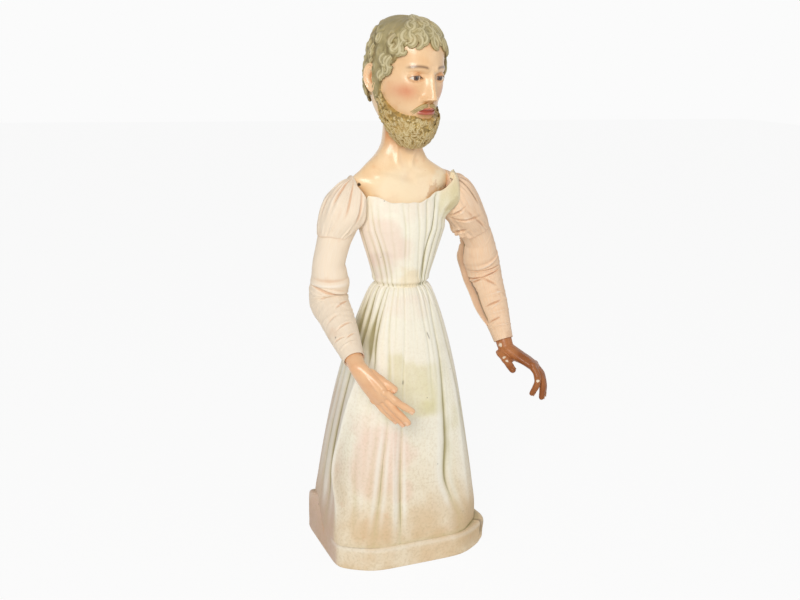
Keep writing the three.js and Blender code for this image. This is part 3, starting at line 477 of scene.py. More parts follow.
def stiffened_cloth(name, stains, foot, foot_strength):
    """Gessoed linen: pink clouds, stains, tan from a foot height down, grime, painted shade and highlight."""
    made, tree, shader, coords = new_finish(name, 0.78)
    where, cloth = coords["Object"], coords["UV"]
    height = node(tree, "SeparateXYZ", {0: where}).outputs[2]
    valley = mark(tree, "valley")
    streaks = node(tree, "Mapping", {"Vector": cloth, "Scale": (1, 0.03, 1)})
    streak = noise(tree, streaks.outputs[0], 2.2 * mm, 3.0)
    pink = placed(tree, blotches, Vector=where, Size=0.085, Amount=0.5)
    wetted = ranged(tree, noise(tree, where, 0.018, 5.0), 0.25, 0.6, 0.65, 1.0)
    low_down = ranged(tree, height, foot, 0.01, 0.0, foot_strength)
    clouds = ranged(tree, noise(tree, where, 0.035, 6.0), 0.3, 0.65, 0.5, 1.0)
    grain = ranged(tree, noise(tree, where, 3.0 * mm, 8.0), 0.42, 0.7)
    soiling = ranged(tree, height, 0.30, 0.04, 0.06, 0.34)
    rust = placed(tree, blotches, Vector=where, Size=0.016, Amount=0.18)
    rusting = ranged(tree, height, foot, 0.02, 0.08, 0.5)
    fold_shade_patchiness = ranged(tree, noise(tree, where, 0.02, 5.0), 0.25, 0.7, 0.5, 1.0)
    dots = placed(tree, flecks, Vector=where, Spacing=0.011, Amount=0.12)
    # Painted light: lilac side shade, highlight on crests, shade in valleys (olive where deepest) and shade in
    # openings; on the bodice the gap mark is real stitching
    colour = layered(
        tree, CREAM, (ranged(tree, streak, 0.35, 0.75), 0.35, CREST_WHITE), (pink, 0.55, PINK_CLOUD),
        *stained(tree, where, stains), (mark(tree, "damp"), wetted, STAIN_GREEN),
        (low_down, clouds, HEM_TAN), (mark(tree, "lilac"), 0.6, LILAC), (grain, soiling, GRIME),
        (rust, rusting, RUST), (mark(tree, "crest"), 0.6, CREST_WHITE),
        (sums(tree, "MULTIPLY", valley, fold_shade_patchiness), 0.85, FOLD_SHADE),
        (ranged(tree, valley, 0.5, 1.0), 0.7, FOLD_OLIVE),
        (dots, 0.6, FLECK_BROWN), (mark(tree, "gap"), 1.0, FLECK_BROWN))
    put(tree, shader, Base_Color=colour, Roughness=ranged(tree, streak, 0.2, 0.8, 0.7, 0.88))
    linen = placed(tree, weave, Vector=cloth, Thread=0.7 * mm)
    plaster = noise(tree, where, 3 * mm, 6.0)
    put_bump(tree, shader, sums(tree, "MULTIPLY_ADD", linen, 0.35, plaster), 0.5 * mm)
    return made


SKIRT_STAINS = [
    ((-0.050, -0.070, 0.125), 0.050, 0.6, PINK_CLOUD, 0.8),
    ((-0.020, -0.080, 0.090), 0.022, 0.6, PINK_CLOUD, 0.6),
    ((-0.052, -0.078, 0.052), 0.024, 0.7, RUST, 0.4),
    ((0.062, -0.070, 0.170), 0.034, 0.6, STAIN_GREEN, 0.5),
    ((0.070, -0.070, 0.040), 0.040, 0.6, paint(186, 158, 116), 0.6),
]
STRAP_TAN, STRAP_GREEN = paint(242, 218, 174), paint(228, 214, 168)
BODICE_STAINS = [
    ((0.052, -0.020, 0.436), 0.036, 0.5, STRAP_TAN, 0.8),
    ((0.058, -0.022, 0.402), 0.028, 0.6, STRAP_GREEN, 0.75),
    ((0.052, -0.0230, 0.3980), 0.0120, 1.6, paint(186, 160, 108), 0.5),
    ((-0.042, -0.020, 0.360), 0.042, 0.7, PINK_CLOUD, 0.6),
    ((-0.036, -0.016, 0.335), 0.024, 0.7, LILAC, 0.3),
    ((0.000, -0.030, 0.316), 0.020, 0.7, STRAP_TAN, 0.55),
]
skirt_finish = stiffened_cloth("gessoed_linen_skirt", SKIRT_STAINS, 0.17, 0.95)
bodice_finish = stiffened_cloth("gessoed_linen_bodice", BODICE_STAINS, 0.02, 0.0)
hem_finish = stiffened_cloth("gessoed_linen_hem", SKIRT_STAINS, 0.17, 0.8)
print("cloth finishes:", skirt_finish.name, bodice_finish.name, hem_finish.name)

# %% [markdown]
# ## Sleeve cotton
# The sleeves are plain cotton without size, so they are rough and show their weave. They bend at the
# elbow, and a pattern in the room's coordinates would slide over them: it lies on the cloth's own.

# %% Sleeve cotton


def sleeve_cotton(name, tone, shade):
    """Plain cotton on its own cloth coordinates, because the sleeves bend: weave, thin stripes of
    uneven yarn, soft soiling, painted highlight on fold crests, and painted shade in the folds and openings."""
    made, tree, shader, coords = new_finish(name, 0.92, Sheen_Weight=0.15)
    cloth = coords["UV"]
    stretched = node(tree, "Mapping", {"Vector": cloth, "Scale": (1, 0.05, 1)})
    yarn = noise(tree, stretched.outputs[0], 0.9 * mm, 2.0)
    soil = placed(tree, blotches, Vector=cloth, Size=0.03, Amount=0.45)
    dots = placed(tree, flecks, Vector=cloth, Spacing=0.014, Amount=0.08)
    colour = layered(
        tree, tone, (ranged(tree, yarn, 0.3, 0.75), 0.3, paint(252, 240, 226)), (soil, 0.45, shade),
        (mark(tree, "crest"), 0.5, paint(253, 243, 230)), (mark(tree, "valley"), 0.7, shade),
        (dots, 0.6, FLECK_BROWN), (mark(tree, "gap"), 1.0, paint(70, 40, 22)))
    put(tree, shader, Base_Color=colour)
    plain_weave = placed(tree, weave, Vector=cloth, Thread=0.55 * mm)
    slubs = noise(tree, cloth, 2 * mm, 5.0)
    put_bump(tree, shader, sums(tree, "MULTIPLY_ADD", plain_weave, 0.5, slubs), 0.35 * mm)
    return made


cotton_finish = {
    "right": sleeve_cotton("cotton_right", paint(246, 226, 200), paint(224, 182, 146)),
    "left": sleeve_cotton("cotton_left", paint(246, 208, 170), paint(206, 156, 118)),
}
print("sleeve finishes:", [made.name for made in cotton_finish.values()])

# %% [markdown]
# ## Flesh, hair and eyes
# Head and hands are painted in oil and varnished, which a clear coat over a mottled tone gives, with
# painted shade under the chin, at the nose, round the eyes and in the ears. The left hand is darker
# and has lost its shine. The hair is ash paint with painted highlight on the crests and brown painted
# shade in the grooves, and the eyes are glass, coloured by how far a point lies from the pupil.

# %% Flesh


def flesh_paint(name, tone, deep, light, chips, varnish=0.45):
    """Oil flesh paint under varnish: a mottled tone, painted shade where marked deep, brushed light, small losses.
    """
    made, tree, shader, coords = new_finish(
        name, 0.4, Coat_Weight=varnish, Coat_Roughness=0.18, Specular_IOR_Level=0.25 + 0.55 * varnish)
    where = coords["Object"]
    mottled = ranged(tree, noise(tree, where, 0.022, 5.0), 0.3, 0.7)
    ruddy = placed(tree, blotches, Vector=where, Size=0.016, Amount=0.4)
    dots = placed(tree, flecks, Vector=where, Spacing=0.009, Amount=0.1)
    dull = placed(tree, blotches, Vector=where, Size=0.012, Amount=0.5)
    colour = layered(
        tree, tone, (mottled, 0.45, light), (ruddy, 0.3, deep), (mark(tree, "deep"), 1.0, deep),
        (mark(tree, "blush"), 0.6, paint(214, 112, 72)), (mark(tree, "lips"), 1.0, paint(172, 62, 48)),
        (mark(tree, "brow"), 1.0, paint(104, 70, 42)), *stained(tree, where, chips), (dots, 0.5, deep))
    put(tree, shader, Base_Color=colour, Roughness=ranged(tree, dull, 0.0, 1.0, 0.34, 0.55))
    strokes = noise(tree, where, 2.5 * mm, 6.0)
    put_bump(tree, shader, strokes, 0.25 * mm)
    return made


GESSO = paint(250, 238, 216)
HEAD_STAINS_AND_SHADE = [
    ((-0.005, -0.027, 0.410), 0.046, 0.5, paint(253, 238, 206), 0.5),
    ((0.040, -0.020, 0.430), 0.016, 0.9, paint(250, 236, 204), 0.6),
    ((0.028, -0.020, 0.4195), 0.011, 1.8, paint(206, 152, 96), 0.6),
    # Painted shadow: a dark spot where the bust meets the right puffed sleeve
    ((-0.0555, -0.0086, 0.4251), 3.0 * mm, 0.3, paint(52, 40, 26), 0.95),
]
# Tone, deeper tone and lighter tone; the deeper one is also the painted shade at chin, nose, eyes and ears
HEAD_TONES = paint(244, 204, 154), paint(208, 134, 70), paint(253, 230, 190)
head_flesh = flesh_paint("varnished_flesh", *HEAD_TONES, HEAD_STAINS_AND_SHADE)
LEFT_HAND_CHIPS = [
    ((0.125, -0.015, 0.226), 0.030, 0.5, paint(192, 126, 78), 0.7),
    ((0.1243, -0.0152, 0.2301), 2.6 * mm, 0.9, GESSO, 0.85),
    ((0.1231, -0.0284, 0.2194), 2.4 * mm, 0.9, GESSO, 0.8),
    ((0.1241, -0.0342, 0.2162), 2.2 * mm, 0.9, GESSO, 0.8),
    ((0.1526, -0.0591, 0.1965), 2.2 * mm, 0.6, GESSO, 0.9),
]
# A hand's stains, varnish, and the tones of its skin and nails: the tone, a deeper and a lighter one
HAND_PAINTS = {
    "right": ([], 0.45, (paint(230, 174, 126), paint(186, 116, 74), paint(246, 206, 160)),
              (paint(236, 186, 146), paint(196, 128, 90), paint(248, 212, 176))),
    "left": (LEFT_HAND_CHIPS, 0.08, (paint(148, 84, 40), paint(88, 46, 22), paint(182, 118, 66)),
             (paint(168, 108, 66), paint(120, 70, 40), paint(190, 136, 92))),
}
hand_flesh, nail_paint = {}, {}
for word, (chips, varnish, skin_tones, nail_tones) in HAND_PAINTS.items():
    hand_flesh[word] = flesh_paint(f"hand_flesh_{word}", *skin_tones, chips, varnish)
    nail_paint[word] = flesh_paint(f"nail_paint_{word}", *nail_tones, [], varnish)
print("flesh finishes:", head_flesh.name, *(made.name for made in hand_flesh.values()))

# %% Hair paint and glass eyes


def painted_hair(name, tone, light, gold_share):
    """Ash paint on carved hair: painted highlight on the crests, golden brown painted shade in the grooves."""
    made, tree, shader, coords = new_finish(name, 0.55, Coat_Weight=0.12, Coat_Roughness=0.35)
    where = coords["Object"]
    worn = ranged(tree, noise(tree, where, 0.012, 5.0), 0.3, 0.7)
    gold = placed(tree, blotches, Vector=where, Size=0.02, Amount=0.5)
    colour = layered(
        tree, tone, (worn, 1.0, light), (mark(tree, "crest"), 0.85, paint(238, 226, 186)),
        (mark(tree, "valley"), 0.85, paint(108, 90, 50)), (gold, gold_share, paint(178, 140, 72)))
    put(tree, shader, Base_Color=colour, Roughness=ranged(tree, worn, 0.0, 1.0, 0.45, 0.65))
    put_bump(tree, shader, noise(tree, where, 1.4 * mm, 5.0), 0.3 * mm)
    return made


hair_finish = painted_hair("painted_hair", paint(156, 142, 94), paint(194, 178, 130), 0.35)
beard_finish = painted_hair("painted_beard", paint(176, 142, 74), paint(198, 168, 98), 0.8)


def glass_eye_finish():
    """A glass eye: the share stored as gaze runs from 0 at the pupil's middle to 1 at the back."""
    made, tree, shader, coords = new_finish("glass_eye", 0.06, Coat_Weight=0.6, Coat_Roughness=0.03)
    gaze = mark(tree, "gaze")
    fibres = noise(tree, coords["Object"], 0.8 * mm, 4.0)
    iris = mixed(tree, ranged(tree, fibres, 0.3, 0.7), paint(70, 42, 24), paint(120, 78, 44))
    white = mixed(tree, ranged(tree, fibres, 0.4, 0.8), paint(238, 228, 210), paint(226, 206, 188))
    colour = mixed(tree, ranged(tree, gaze, 0.125, 0.135), iris, white)
    colour = mixed(tree, ranged(tree, gaze, 0.055, 0.063, 1.0, 0.0), colour, paint(14, 10, 8))
    put(tree, shader, Base_Color=colour)
    return made


eye_finish = glass_eye_finish()
print("hair and eye finishes:", hair_finish.name, beard_finish.name, eye_finish.name)

# %% [markdown]
# ## Wood, iron and tow
# What lies under the dress keeps the shape of its solid and only needs a finish: sawn softwood, iron
# and loose flax, chosen by the slot that each piece has in the record.

# %% Wood, iron and tow


def bare_wood():
    """Sawn softwood: rings stretched along the grain, with pores."""
    made, tree, shader, coords = new_finish("bare_wood", 0.7)
    grain = node(tree, "Mapping", {"Vector": coords["Object"], "Scale": (1, 1, 0.06)})
    rings = ranged(tree, noise(tree, grain.outputs[0], 3 * mm, 5.0), 0.3, 0.7)
    pores = noise(tree, grain.outputs[0], 0.8 * mm, 3.0)
    put(tree, shader, Base_Color=mixed(tree, rings, paint(176, 128, 82), paint(208, 166, 116)))
    put_bump(tree, shader, pores, 0.3 * mm)
    return made


def dull_iron():
    """Wrought iron with a little rust."""
    made, tree, shader, coords = new_finish("dull_iron", 0.5, Metallic=0.9)
    rust = placed(tree, blotches, Vector=coords["Object"], Size=3 * mm, Amount=0.5)
    colour = mixed(tree, rust, paint(92, 86, 80), paint(112, 70, 44))
    put(tree, shader, Base_Color=colour, Roughness=ranged(tree, rust, 0.0, 1.0, 0.45, 0.8))
    return made


def flax_tow():
    """Loose flax: thin fibres along the arm."""
    made, tree, shader, coords = new_finish("flax_tow", 0.95)
    fibres = node(tree, "Mapping", {"Vector": coords["Object"], "Scale": (1, 1, 0.1)})
    strands = noise(tree, fibres.outputs[0], 0.8 * mm, 6.0)
    put(tree, shader, Base_Color=mixed(tree, strands, paint(150, 128, 84), paint(206, 184, 138)))
    put_bump(tree, shader, strands, 0.8 * mm)
    return made


wood_finish, iron_finish, tow_finish = bare_wood(), dull_iron(), flax_tow()
FRAME_FINISHES = {"wood": wood_finish, "iron": iron_finish, "tow": tow_finish}
slot_of = {part["node"]: part["material_slot"] for part in frame["record"]["subparts"]}
for name, thing in frame["nodes"].items():
    finish = FRAME_FINISHES.get(slot_of[name])
    if finish:
        thing.data.materials.clear()
        thing.data.materials.append(finish)
print("frame finishes:", len(FRAME_FINISHES))

# %% [markdown]
# ## The hem round the plinth
# The plinth is wrapped in the same gessoed cloth as the skirt. Its outline is a rectangle with cut
# corners, and glued cloth rounds them. A rounded polygon needs no arcs: each side is the line where
# the distance along its normal is constant, and a sum of high powers of those distances blends the
# sides into one smooth outline. A profile carried round it turns under, up and over the edge.

# %% Plinth
plinth_low, plinth_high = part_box("plinth_board")
CORNER_CUT = np.array([34, 22]) * mm
HEM_COLUMNS = 420
CORNER_ROUNDING = 22
LAP_ANGLE = math.radians(56)


def plinth_radius(angle, outset):
    """Distance from the middle to the cloth round the plinth, at an angle from the front: one over
    the p-norm of the eight sides' (cosine of the angle to the normal / distance)."""
    half = np.array([plinth_high.x, plinth_high.y])
    slant = math.atan2(CORNER_CUT[1], CORNER_CUT[0])
    corner = np.array([half[0], half[1] - CORNER_CUT[1]])
    slanted = corner @ np.array([math.sin(slant), math.cos(slant)])
    normals, distances = [], []
    for side in (-1, 1):
        normals += [side * math.pi / 2, (1 + side) * math.pi / 2]
        distances += [half[0], half[1]]
        normals += [side * slant, side * (math.pi - slant)]
        distances += [slanted, slanted]
    lines = np.array(distances) + np.asarray(outset)[..., None]
    towards = np.cos(angle[..., None] - np.array(normals)) / lines
    return (np.maximum(towards, 0) ** CORNER_ROUNDING).sum(-1) ** (-1 / CORNER_ROUNDING)


def ring_points(radius, angle, z):
    """Points at a distance from the upright axis; angle 0 is the figure's front."""
    return stacked(radius * np.sin(angle), -radius * np.cos(angle), z)


def plinth_patch():
    """The board under the cloth: its outline a little smaller, carried from the middle of the
    underside out, up and back to the middle of the top."""
    angle = full_turn(HEM_COLUMNS)
    share = np.array([0, 0.98, 1, 1, 0.98, 0])[:, None]
    height = np.array([0, 0, 0.03, 0.97, 1, 1])[:, None]
    radius = plinth_radius(angle, -0.5 * mm) * share
    return patch(ring_points(radius, angle, lerp(plinth_low.z, plinth_high.z, height)))


plinth = add_piece("plinth_wood", [plinth_patch()], wood_finish)
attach(plinth, "body")
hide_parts("plinth_board")

# %% Hem


def hem_patch():
    """The cloth round the plinth: a profile of (outset, height) carried round the outline. At the
    left front corner one end laps over the other and stands off. At the right and the back the
    cloth climbs the skirt, and towards the right front it sinks into it, so that no edge shows."""
    angle = full_turn(HEM_COLUMNS)
    degrees = np.degrees(angle)
    profile = np.array([
        (-6, 0.9), (-1, 0.7), (1.2, 0.8), (2.2, 1.6), (2.6, 4), (2.5, 10), (2.7, 18), (2.6, 23),
        (2.0, 26.0), (0.6, 27.8), (-2.0, 28.3), (-5, 28.2), (-9, 28.0), (-15, 27.6),
    ]) * mm
    steps = np.linspace(0, len(profile) - 1, 60)[:, None]
    outset, z = curve_through(np.column_stack([np.arange(len(profile)), profile]), steps)
    side = smooth(z, 2 * mm, 8 * mm)
    uneven = ripples(angle, z / 0.05, 3, 9, 9, 1.0)
    lap = smooth(angle, LAP_ANGLE, LAP_ANGLE + 0.008) * mound(angle - LAP_ANGLE, 0.3) * 2.4 * mm
    loose = mound(angle - LAP_ANGLE - 0.1, 0.16)
    merged = between(degrees, -120, -110, -76, -66)
    sinking = between(degrees, -118, -100, -56, -46)
    wave = ripples(angle, 0 * angle, 5, 7, 7, 0.0) * 0.8 * mm + 2.2 * mm * loose
    climb = 21 * mm * mound(degrees + 112, 26) + 5 * mm * mound(degrees - 84, 16)
    height = z + (wave + climb) * smooth(z, 12 * mm, 27 * mm)
    radius = plinth_radius(angle, outset) + side * (uneven * 1.6 * mm + lap)
    radius = radius + 1.6 * mm * loose * smooth(z, 15 * mm, 27 * mm)
    radius = radius - 2.3 * mm * merged * smooth(z, 12 * mm, 26 * mm)
    radius = radius - 6.5 * mm * sinking * smooth(height, 29 * mm, 40 * mm)
    stretch = np.hypot(np.gradient(outset, axis=0), np.gradient(z, axis=0))
    uv = cloth_places(angle * plinth_radius(angle, 0), np.cumsum(stretch, 0))
    # Painted light: shade under the ledge, a highlight along the rounded top, shade under the lapped end, and
    # lilac shade on the figure's right side
    ledge = mound(z - 28 * mm, 1.2 * mm) * smooth(-outset, 0.5 * mm, 3 * mm) * (1 - merged)
    gap = mound(angle - LAP_ANGLE, 0.010) * smooth(z, 6 * mm, 18 * mm)
    worn = mound(z - 25 * mm, 2.5 * mm) * 0.4 * (1 - merged)
    lilac = between(degrees, -150, -128, -64, -59)
    points = ring_points(radius, angle, height)
    return patch(points, uv, valley=0.7 * ledge, crest=worn, gap=0.8 * gap, lilac=lilac)


hem = add_piece("hem_cloth", [hem_patch()], hem_finish)
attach(hem, "body")
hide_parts("hem_band")

# %% [markdown]
# ## The skirt
# One length of linen was pleated into the waist and stiffened over a frame of slats. Cloth
# simulation would give limp folds. Here the folds are stiff and their places are known, so each
# crease is a line that runs down the skirt with its own depth and width along the way. A crease's
# profile is exp(-distance / width), which is sharp at the bottom like a pressed pleat.

# %% Creases of the skirt
# Each crease is a row of (drop, degrees from the front, depth, width): the drop runs from 0 at the
# waist to 1 at the foot, depth and width are in mm, and a negative depth is a ridge.
SKIRT_CREASES = [
    [(0, -99, 2.2, 2), (0.18, -100, 3.2, 3), (0.36, -96, 1.6, 6), (0.62, -103, 2.6, 7), (0.95, -104, 0.6, 9)],
    [(0, -86, 2.0, 2), (0.12, -84, 2.6, 3), (0.3, -81, 3.0, 6), (0.5, -86, 3.4, 8), (0.75, -91, 3.8, 9),
     (0.95, -84, 1.0, 10)],
    [(0, -74, 2.6, 2), (0.1, -71, 4.0, 3), (0.2, -72, 4.0, 4), (0.32, -72, 1.8, 5), (0.5, -76, 0.0, 6)],
    [(0.2, -62, 0.0, 5), (0.32, -64.5, -1.8, 5), (0.45, -71, -3.0, 5), (0.57, -75, -3.4, 5),
     (0.77, -80, -3.6, 5), (0.85, -70, -3.0, 6), (0.94, -63.5, -2.0, 7), (1, -62, -0.8, 7)],
    [(0, -56, 2.2, 2), (0.14, -59, 3.6, 3), (0.21, -58, 3.8, 3.4), (0.26, -56, 2.6, 4), (0.45, -58, 0.0, 6)],
    [(0, -48.5, 2.2, 1.8), (0.13, -52, 2.8, 2.4), (0.21, -52, 3.2, 2.8), (0.28, -49.5, 2.8, 3.4),
     (0.42, -49, 0.9, 5), (0.6, -47, 0.4, 6), (0.8, -50, 0.0, 7)],
    [(0.55, -54, 0.0, 4), (0.71, -54, 1.0, 5), (0.83, -51.5, 1.0, 5), (0.95, -51, 0.0, 5)],
    [(0.45, -41, 0.0, 3), (0.57, -40.5, 1.0, 4), (0.66, -41, 1.0, 4), (0.85, -43, 0.0, 5)],
    [(0, -37, 1.8, 1.6), (0.13, -37.5, 1.7, 1.8), (0.2, -36, 2.0, 2), (0.3, -33, 2.0, 2.4),
     (0.42, -32, 0.8, 3), (0.52, -32, 1.2, 3), (0.65, -34, 2.6, 3.4), (0.78, -35, 2.6, 3.8),
     (0.9, -36.5, 1.8, 4), (1, -37, 0.5, 5)],
    [(0, -28, 1.2, 1.4), (0.1, -28, 0.8, 1.6), (0.25, -27, 0.3, 2), (0.4, -27, 0.0, 3)],
    [(0.45, -26.5, 0.0, 3), (0.6, -25.5, -1.4, 3.4), (0.75, -24.5, -1.8, 3.6), (0.92, -23.5, -1.2, 4),
     (1, -23.5, -0.3, 5)],
    [(0, -15, 1.3, 1.4), (0.17, -15, 0.9, 1.3), (0.28, -16.5, 0.9, 1.3), (0.36, -17.5, 0.9, 1.4),
     (0.55, -18.5, 1.5, 2.4), (0.71, -19, 2.6, 3.4), (0.93, -18, 2.4, 4), (1, -18, 0.8, 5)],
    [(0, 2, 0.5, 1.6), (0.12, 2, 0.3, 2), (0.25, 1, 0.0, 3)],
    [(0, 19, 1.8, 1.6), (0.12, 17.5, 1.2, 1.7), (0.22, 19.5, 1.1, 1.8), (0.32, 18.5, 0.8, 2.4),
     (0.42, 18, 0.5, 3), (0.65, 16, 0.0, 5)],
    [(0, 31, 1.8, 1.8), (0.1, 27, 1.0, 2.2), (0.25, 26, 0.5, 3), (0.45, 25, 0.0, 4)],
    [(0, 47, 2.4, 2), (0.1, 37.5, 2.0, 2.4), (0.27, 34.5, 2.3, 3.4), (0.45, 31, 3.0, 4.4), (0.6, 29, 3.2, 5),
     (0.78, 26.5, 3.0, 5), (0.84, 30, 2.2, 5), (0.93, 35, 0.6, 6)],
    [(0.1, 42, 0.3, 8), (0.3, 39, 1.0, 10), (0.45, 36, 1.3, 11), (0.75, 32, 1.3, 11), (0.92, 37, 0.2, 10)],
    [(0.1, 50, -0.6, 4), (0.45, 47, -1.8, 6), (0.75, 44, -1.6, 7), (0.95, 45, 0.0, 8)],
    [(0, 60, 2.2, 2), (0.2, 52, 2.2, 4), (0.5, 56, 2.0, 7), (0.8, 58, 1.2, 8), (1, 58, 0.4, 8)],
    [(0, 75, 2.2, 2), (0.3, 72, 2.6, 6), (0.65, 73, 2.2, 8), (1, 74, 0.6, 9)],
    [(0, 91, 2.2, 2), (0.4, 90, 2.2, 7), (1, 88, 0.8, 9)],
]
BACK_CREASES = 11
# The crease whose ridge bounds the lilac painted side shade
LILAC_RIDGE = 3


def back_creases():
    """Creases from 106 degrees on round the back, at even steps that a seeded draw makes uneven."""
    draw = np.random.default_rng(21)
    table = []
    for i in range(BACK_CREASES):
        line = 106 + (248 - 106) * i / (BACK_CREASES - 1) + draw.uniform(-3, 3)
        sway = draw.uniform(-5, 5, 2)
        deep = draw.uniform(0.6, 3.4, 3)
        table.append([
            (0, line, 2.2, 2), (0.3, line + sway[0], deep[0], 5),
            (0.65, line + sway[1], deep[1], 7), (1, line + sway[1], 0.3 * deep[2], 9),
        ])
    return table


def creases(angle, drop, radius, table):
    """The depth of all creases and, apart, the marks for painted shade at their bottoms and
    painted highlight on their crests and beside them. The distance from a crease is the difference
    of angle times the radius."""
    depth = valley = crest = 0
    for stations in table:
        line, deep, width = curve_through(stations, drop)
        deep, width = deep * mm, np.maximum(width, 1) * mm
        apart = np.abs((angle - np.radians(line) + np.pi) % (2 * np.pi) - np.pi) * radius
        rounded = np.sqrt(apart ** 2 + (0.35 * mm) ** 2)
        depth = depth + deep * np.exp(-rounded / width)
        sunk, raised = np.maximum(deep, 0) / (3.2 * mm), np.maximum(-deep, 0) / (2.5 * mm)
        valley = valley + sunk * np.exp(-apart / (0.5 * width))
        flanks = sunk * mound(apart - 1.3 * width, 0.7 * width)
        crest = crest + raised * np.exp(-apart / (0.4 * width)) + flanks
    return depth, np.clip(valley, 0, 1), np.clip(crest, 0, 1)


print("skirt creases:", len(SKIRT_CREASES), "placed and", BACK_CREASES, "drawn for the back")

# %% [markdown]
# ## The form of the skirt
# The waist is a small oval and the foot follows the plinth. Between them the form is an oval whose
# power grows, so that it turns from round to nearly square. The creases are taken off it, and the
# last rows run out to the hem, so that the two cloths meet.

# %% Skirt
SKIRT_TOP, SKIRT_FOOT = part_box("skirt")[1].z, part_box("skirt")[0].z
WAIST_HALF = np.array([30, 24.5]) * mm
FOOT_HALF = np.array([plinth_high.x, plinth_high.y]) - 3 * mm
FOOT_SQUARENESS = 4.5
SKIRT_COLUMNS, SKIRT_ROWS = 640, 150
PANEL_FULLNESS = 1.6 * mm
# Length of a radian on the cloth
SKIRT_RADIAN = 85 * mm
# Degrees from the front, how far the skirt's foot lies inside the face of the hem (mm)
HEM_LEDGE = [
    (-180, 4), (-125, 6), (-104, 5), (-90, 1.2), (-62, 0), (-45, 1.4), (-20, 2.2), (20, 2.4), (38, 3.4),
    (50, 6.5), (60, 7.5), (75, 6), (100, 5), (180, 4),
]


def oval(half_width, half_depth, angle, power=2.0):
    """Distance from the middle to an oval's edge at an angle from the front; a higher power is squarer."""
    across = np.abs(np.sin(angle) / half_width) ** power
    along = np.abs(np.cos(angle) / half_depth) ** power
    return (across + along) ** (-1 / power)


def skirt_form(drop, angle):
    """The skirt's smooth form, 0 at the waist and 1 at the foot: it springs out as the mean of the
    square root of the drop and of 1 - (1 - drop)^2, and squares up towards the plinth."""
    flare = (np.sqrt(drop) + 1 - (1 - drop) ** 2) / 2
    halves = [lerp(WAIST_HALF[k], FOOT_HALF[k], flare) for k in (0, 1)]
    return oval(*halves, angle, lerp(2.0, FOOT_SQUARENESS, drop))


def damp_marks(degrees, drop):
    """Where the cloth was once wet: a patch with straight edges and a stepped top, darkest low down."""
    top = 0.238 + 0.034 * smooth(degrees, -19, -15) + 0.016 * smooth(degrees, -5, 1)
    inside = between(drop, top - 0.012, top + 0.022, 0.475, 0.51) * between(degrees, -40, -32, 27, 35)
    darker = mound(np.hypot((degrees - 19) / 13, (drop - 0.45) / 0.07), 1.0)
    return inside * (0.5 + 0.5 * darker)


def skirt_patch():
    """The skirt: its smooth form plus a fullness, less the creases; the last rows run out to the hem."""
    angle = full_turn(SKIRT_COLUMNS)
    degrees = np.degrees(angle)
    drop = (np.linspace(0, 1, SKIRT_ROWS) ** 1.2)[:, None]
    radius = skirt_form(drop, angle)
    depth, valley, crest = creases(angle, drop, radius, SKIRT_CREASES + back_creases())
    small = np.cos(60 * angle + 3 * ripples(angle, drop, 7, 5, 6, 0.5)) * 0.45 * mm * np.exp(-drop / 0.06)
    small = small * (1 - 0.85 * mound(degrees - 4, 14))
    slack = ripples(angle, drop, 11, 14, 9, 1.4) * lerp(0.3, 2.4, drop) * mm
    tuck = -1.2 * mm * np.exp(-drop / 0.012)
    trim = -2.6 * mm * mound(degrees - 58, 24) * mound(drop - 0.62, 0.26)
    radius = radius + PANEL_FULLNESS - depth + small + slack + tuck + trim
    ledge = curve_through(HEM_LEDGE, degrees)[0]
    foot = smooth(drop, 0.84, 1.0)
    on_hem = plinth_radius(angle, (2.4 - ledge) * mm) - 0.3 * depth
    radius = lerp(radius, on_hem, foot)
    height = lerp(SKIRT_TOP, SKIRT_FOOT + 0.9 * mm, drop)
    uv = cloth_places(angle * SKIRT_RADIAN, SKIRT_TOP - height)
    # Painted light: shade along the foot against the hem's ledge, two broad smears of shade on the figure's right
    # below the waist, lilac shade on the right side, highlight on the crests, and shade in a slit and a small
    # hole. The damp mark is a water stain.
    foot_line = 0.22 * ledge * mound(drop - 1.0, 0.012)
    smear = 0.6 * mound(np.hypot((degrees + 62) / 9, (drop - 0.2) / 0.085), 1.0)
    smear = smear + 0.75 * mound(np.hypot((degrees + 88) / 16, (drop - 0.15) / 0.09), 1.0)
    slit_line = lerp(20, 22.5, np.clip((drop - 0.173) / 0.025, 0, 1))
    slit = mound((degrees - slit_line) * 0.8, 0.6) * between(drop, 0.166, 0.176, 0.192, 0.202)
    hole = mound(np.hypot((degrees + 17.5) / 0.8, (drop - 0.353) / 0.008), 1.0)
    ridge_line = curve_through(SKIRT_CREASES[LILAC_RIDGE], drop)[0]
    lilac = smooth(ridge_line - degrees, 0, 5) * smooth(degrees, -150, -120) * smooth(drop, 0.3, 0.5)
    marks = {"valley": np.clip(valley + foot_line + smear, 0, 1), "crest": crest * (1 - foot), "lilac": lilac,
             "gap": np.clip(0.75 * slit + 0.85 * hole, 0, 1), "damp": damp_marks(degrees, drop)}
    points = ring_points(radius, angle, height)
    return patch(points[::-1], uv[::-1], **{key: value[::-1] for key, value in marks.items()})


skirt = add_piece("skirt_cloth", [skirt_patch()], skirt_finish)
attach(skirt, "body")
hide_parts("skirt")

# %% [markdown]
# ## The bodice
# The bodice is a tube of the same linen, pleated from the neck to the waist, scooped in front and
# behind and cut away under the arms. Its upper edge is a height that depends on the angle, so each
# column of the grid runs from the waist to its own edge, and three more rows turn the edge inwards.

# %% Creases of the bodice
WAIST_Z = SKIRT_TOP + 0.6 * mm
SHOULDER_Z = 0.437
CHEST_Z = 0.376
CHEST_HALF = np.array([50, 32]) * mm
SHOULDER_HALF_DEPTH = 14 * mm
BODICE_RADIAN = 45 * mm
BODICE_COLUMNS, BODICE_ROWS = 560, 96
NECKLINE_DROP, ARMPIT_DROP = 30 * mm, 57 * mm
RIGHT_STRAP_DROP, LEFT_STRAP_DROP = 24 * mm, -1.5 * mm
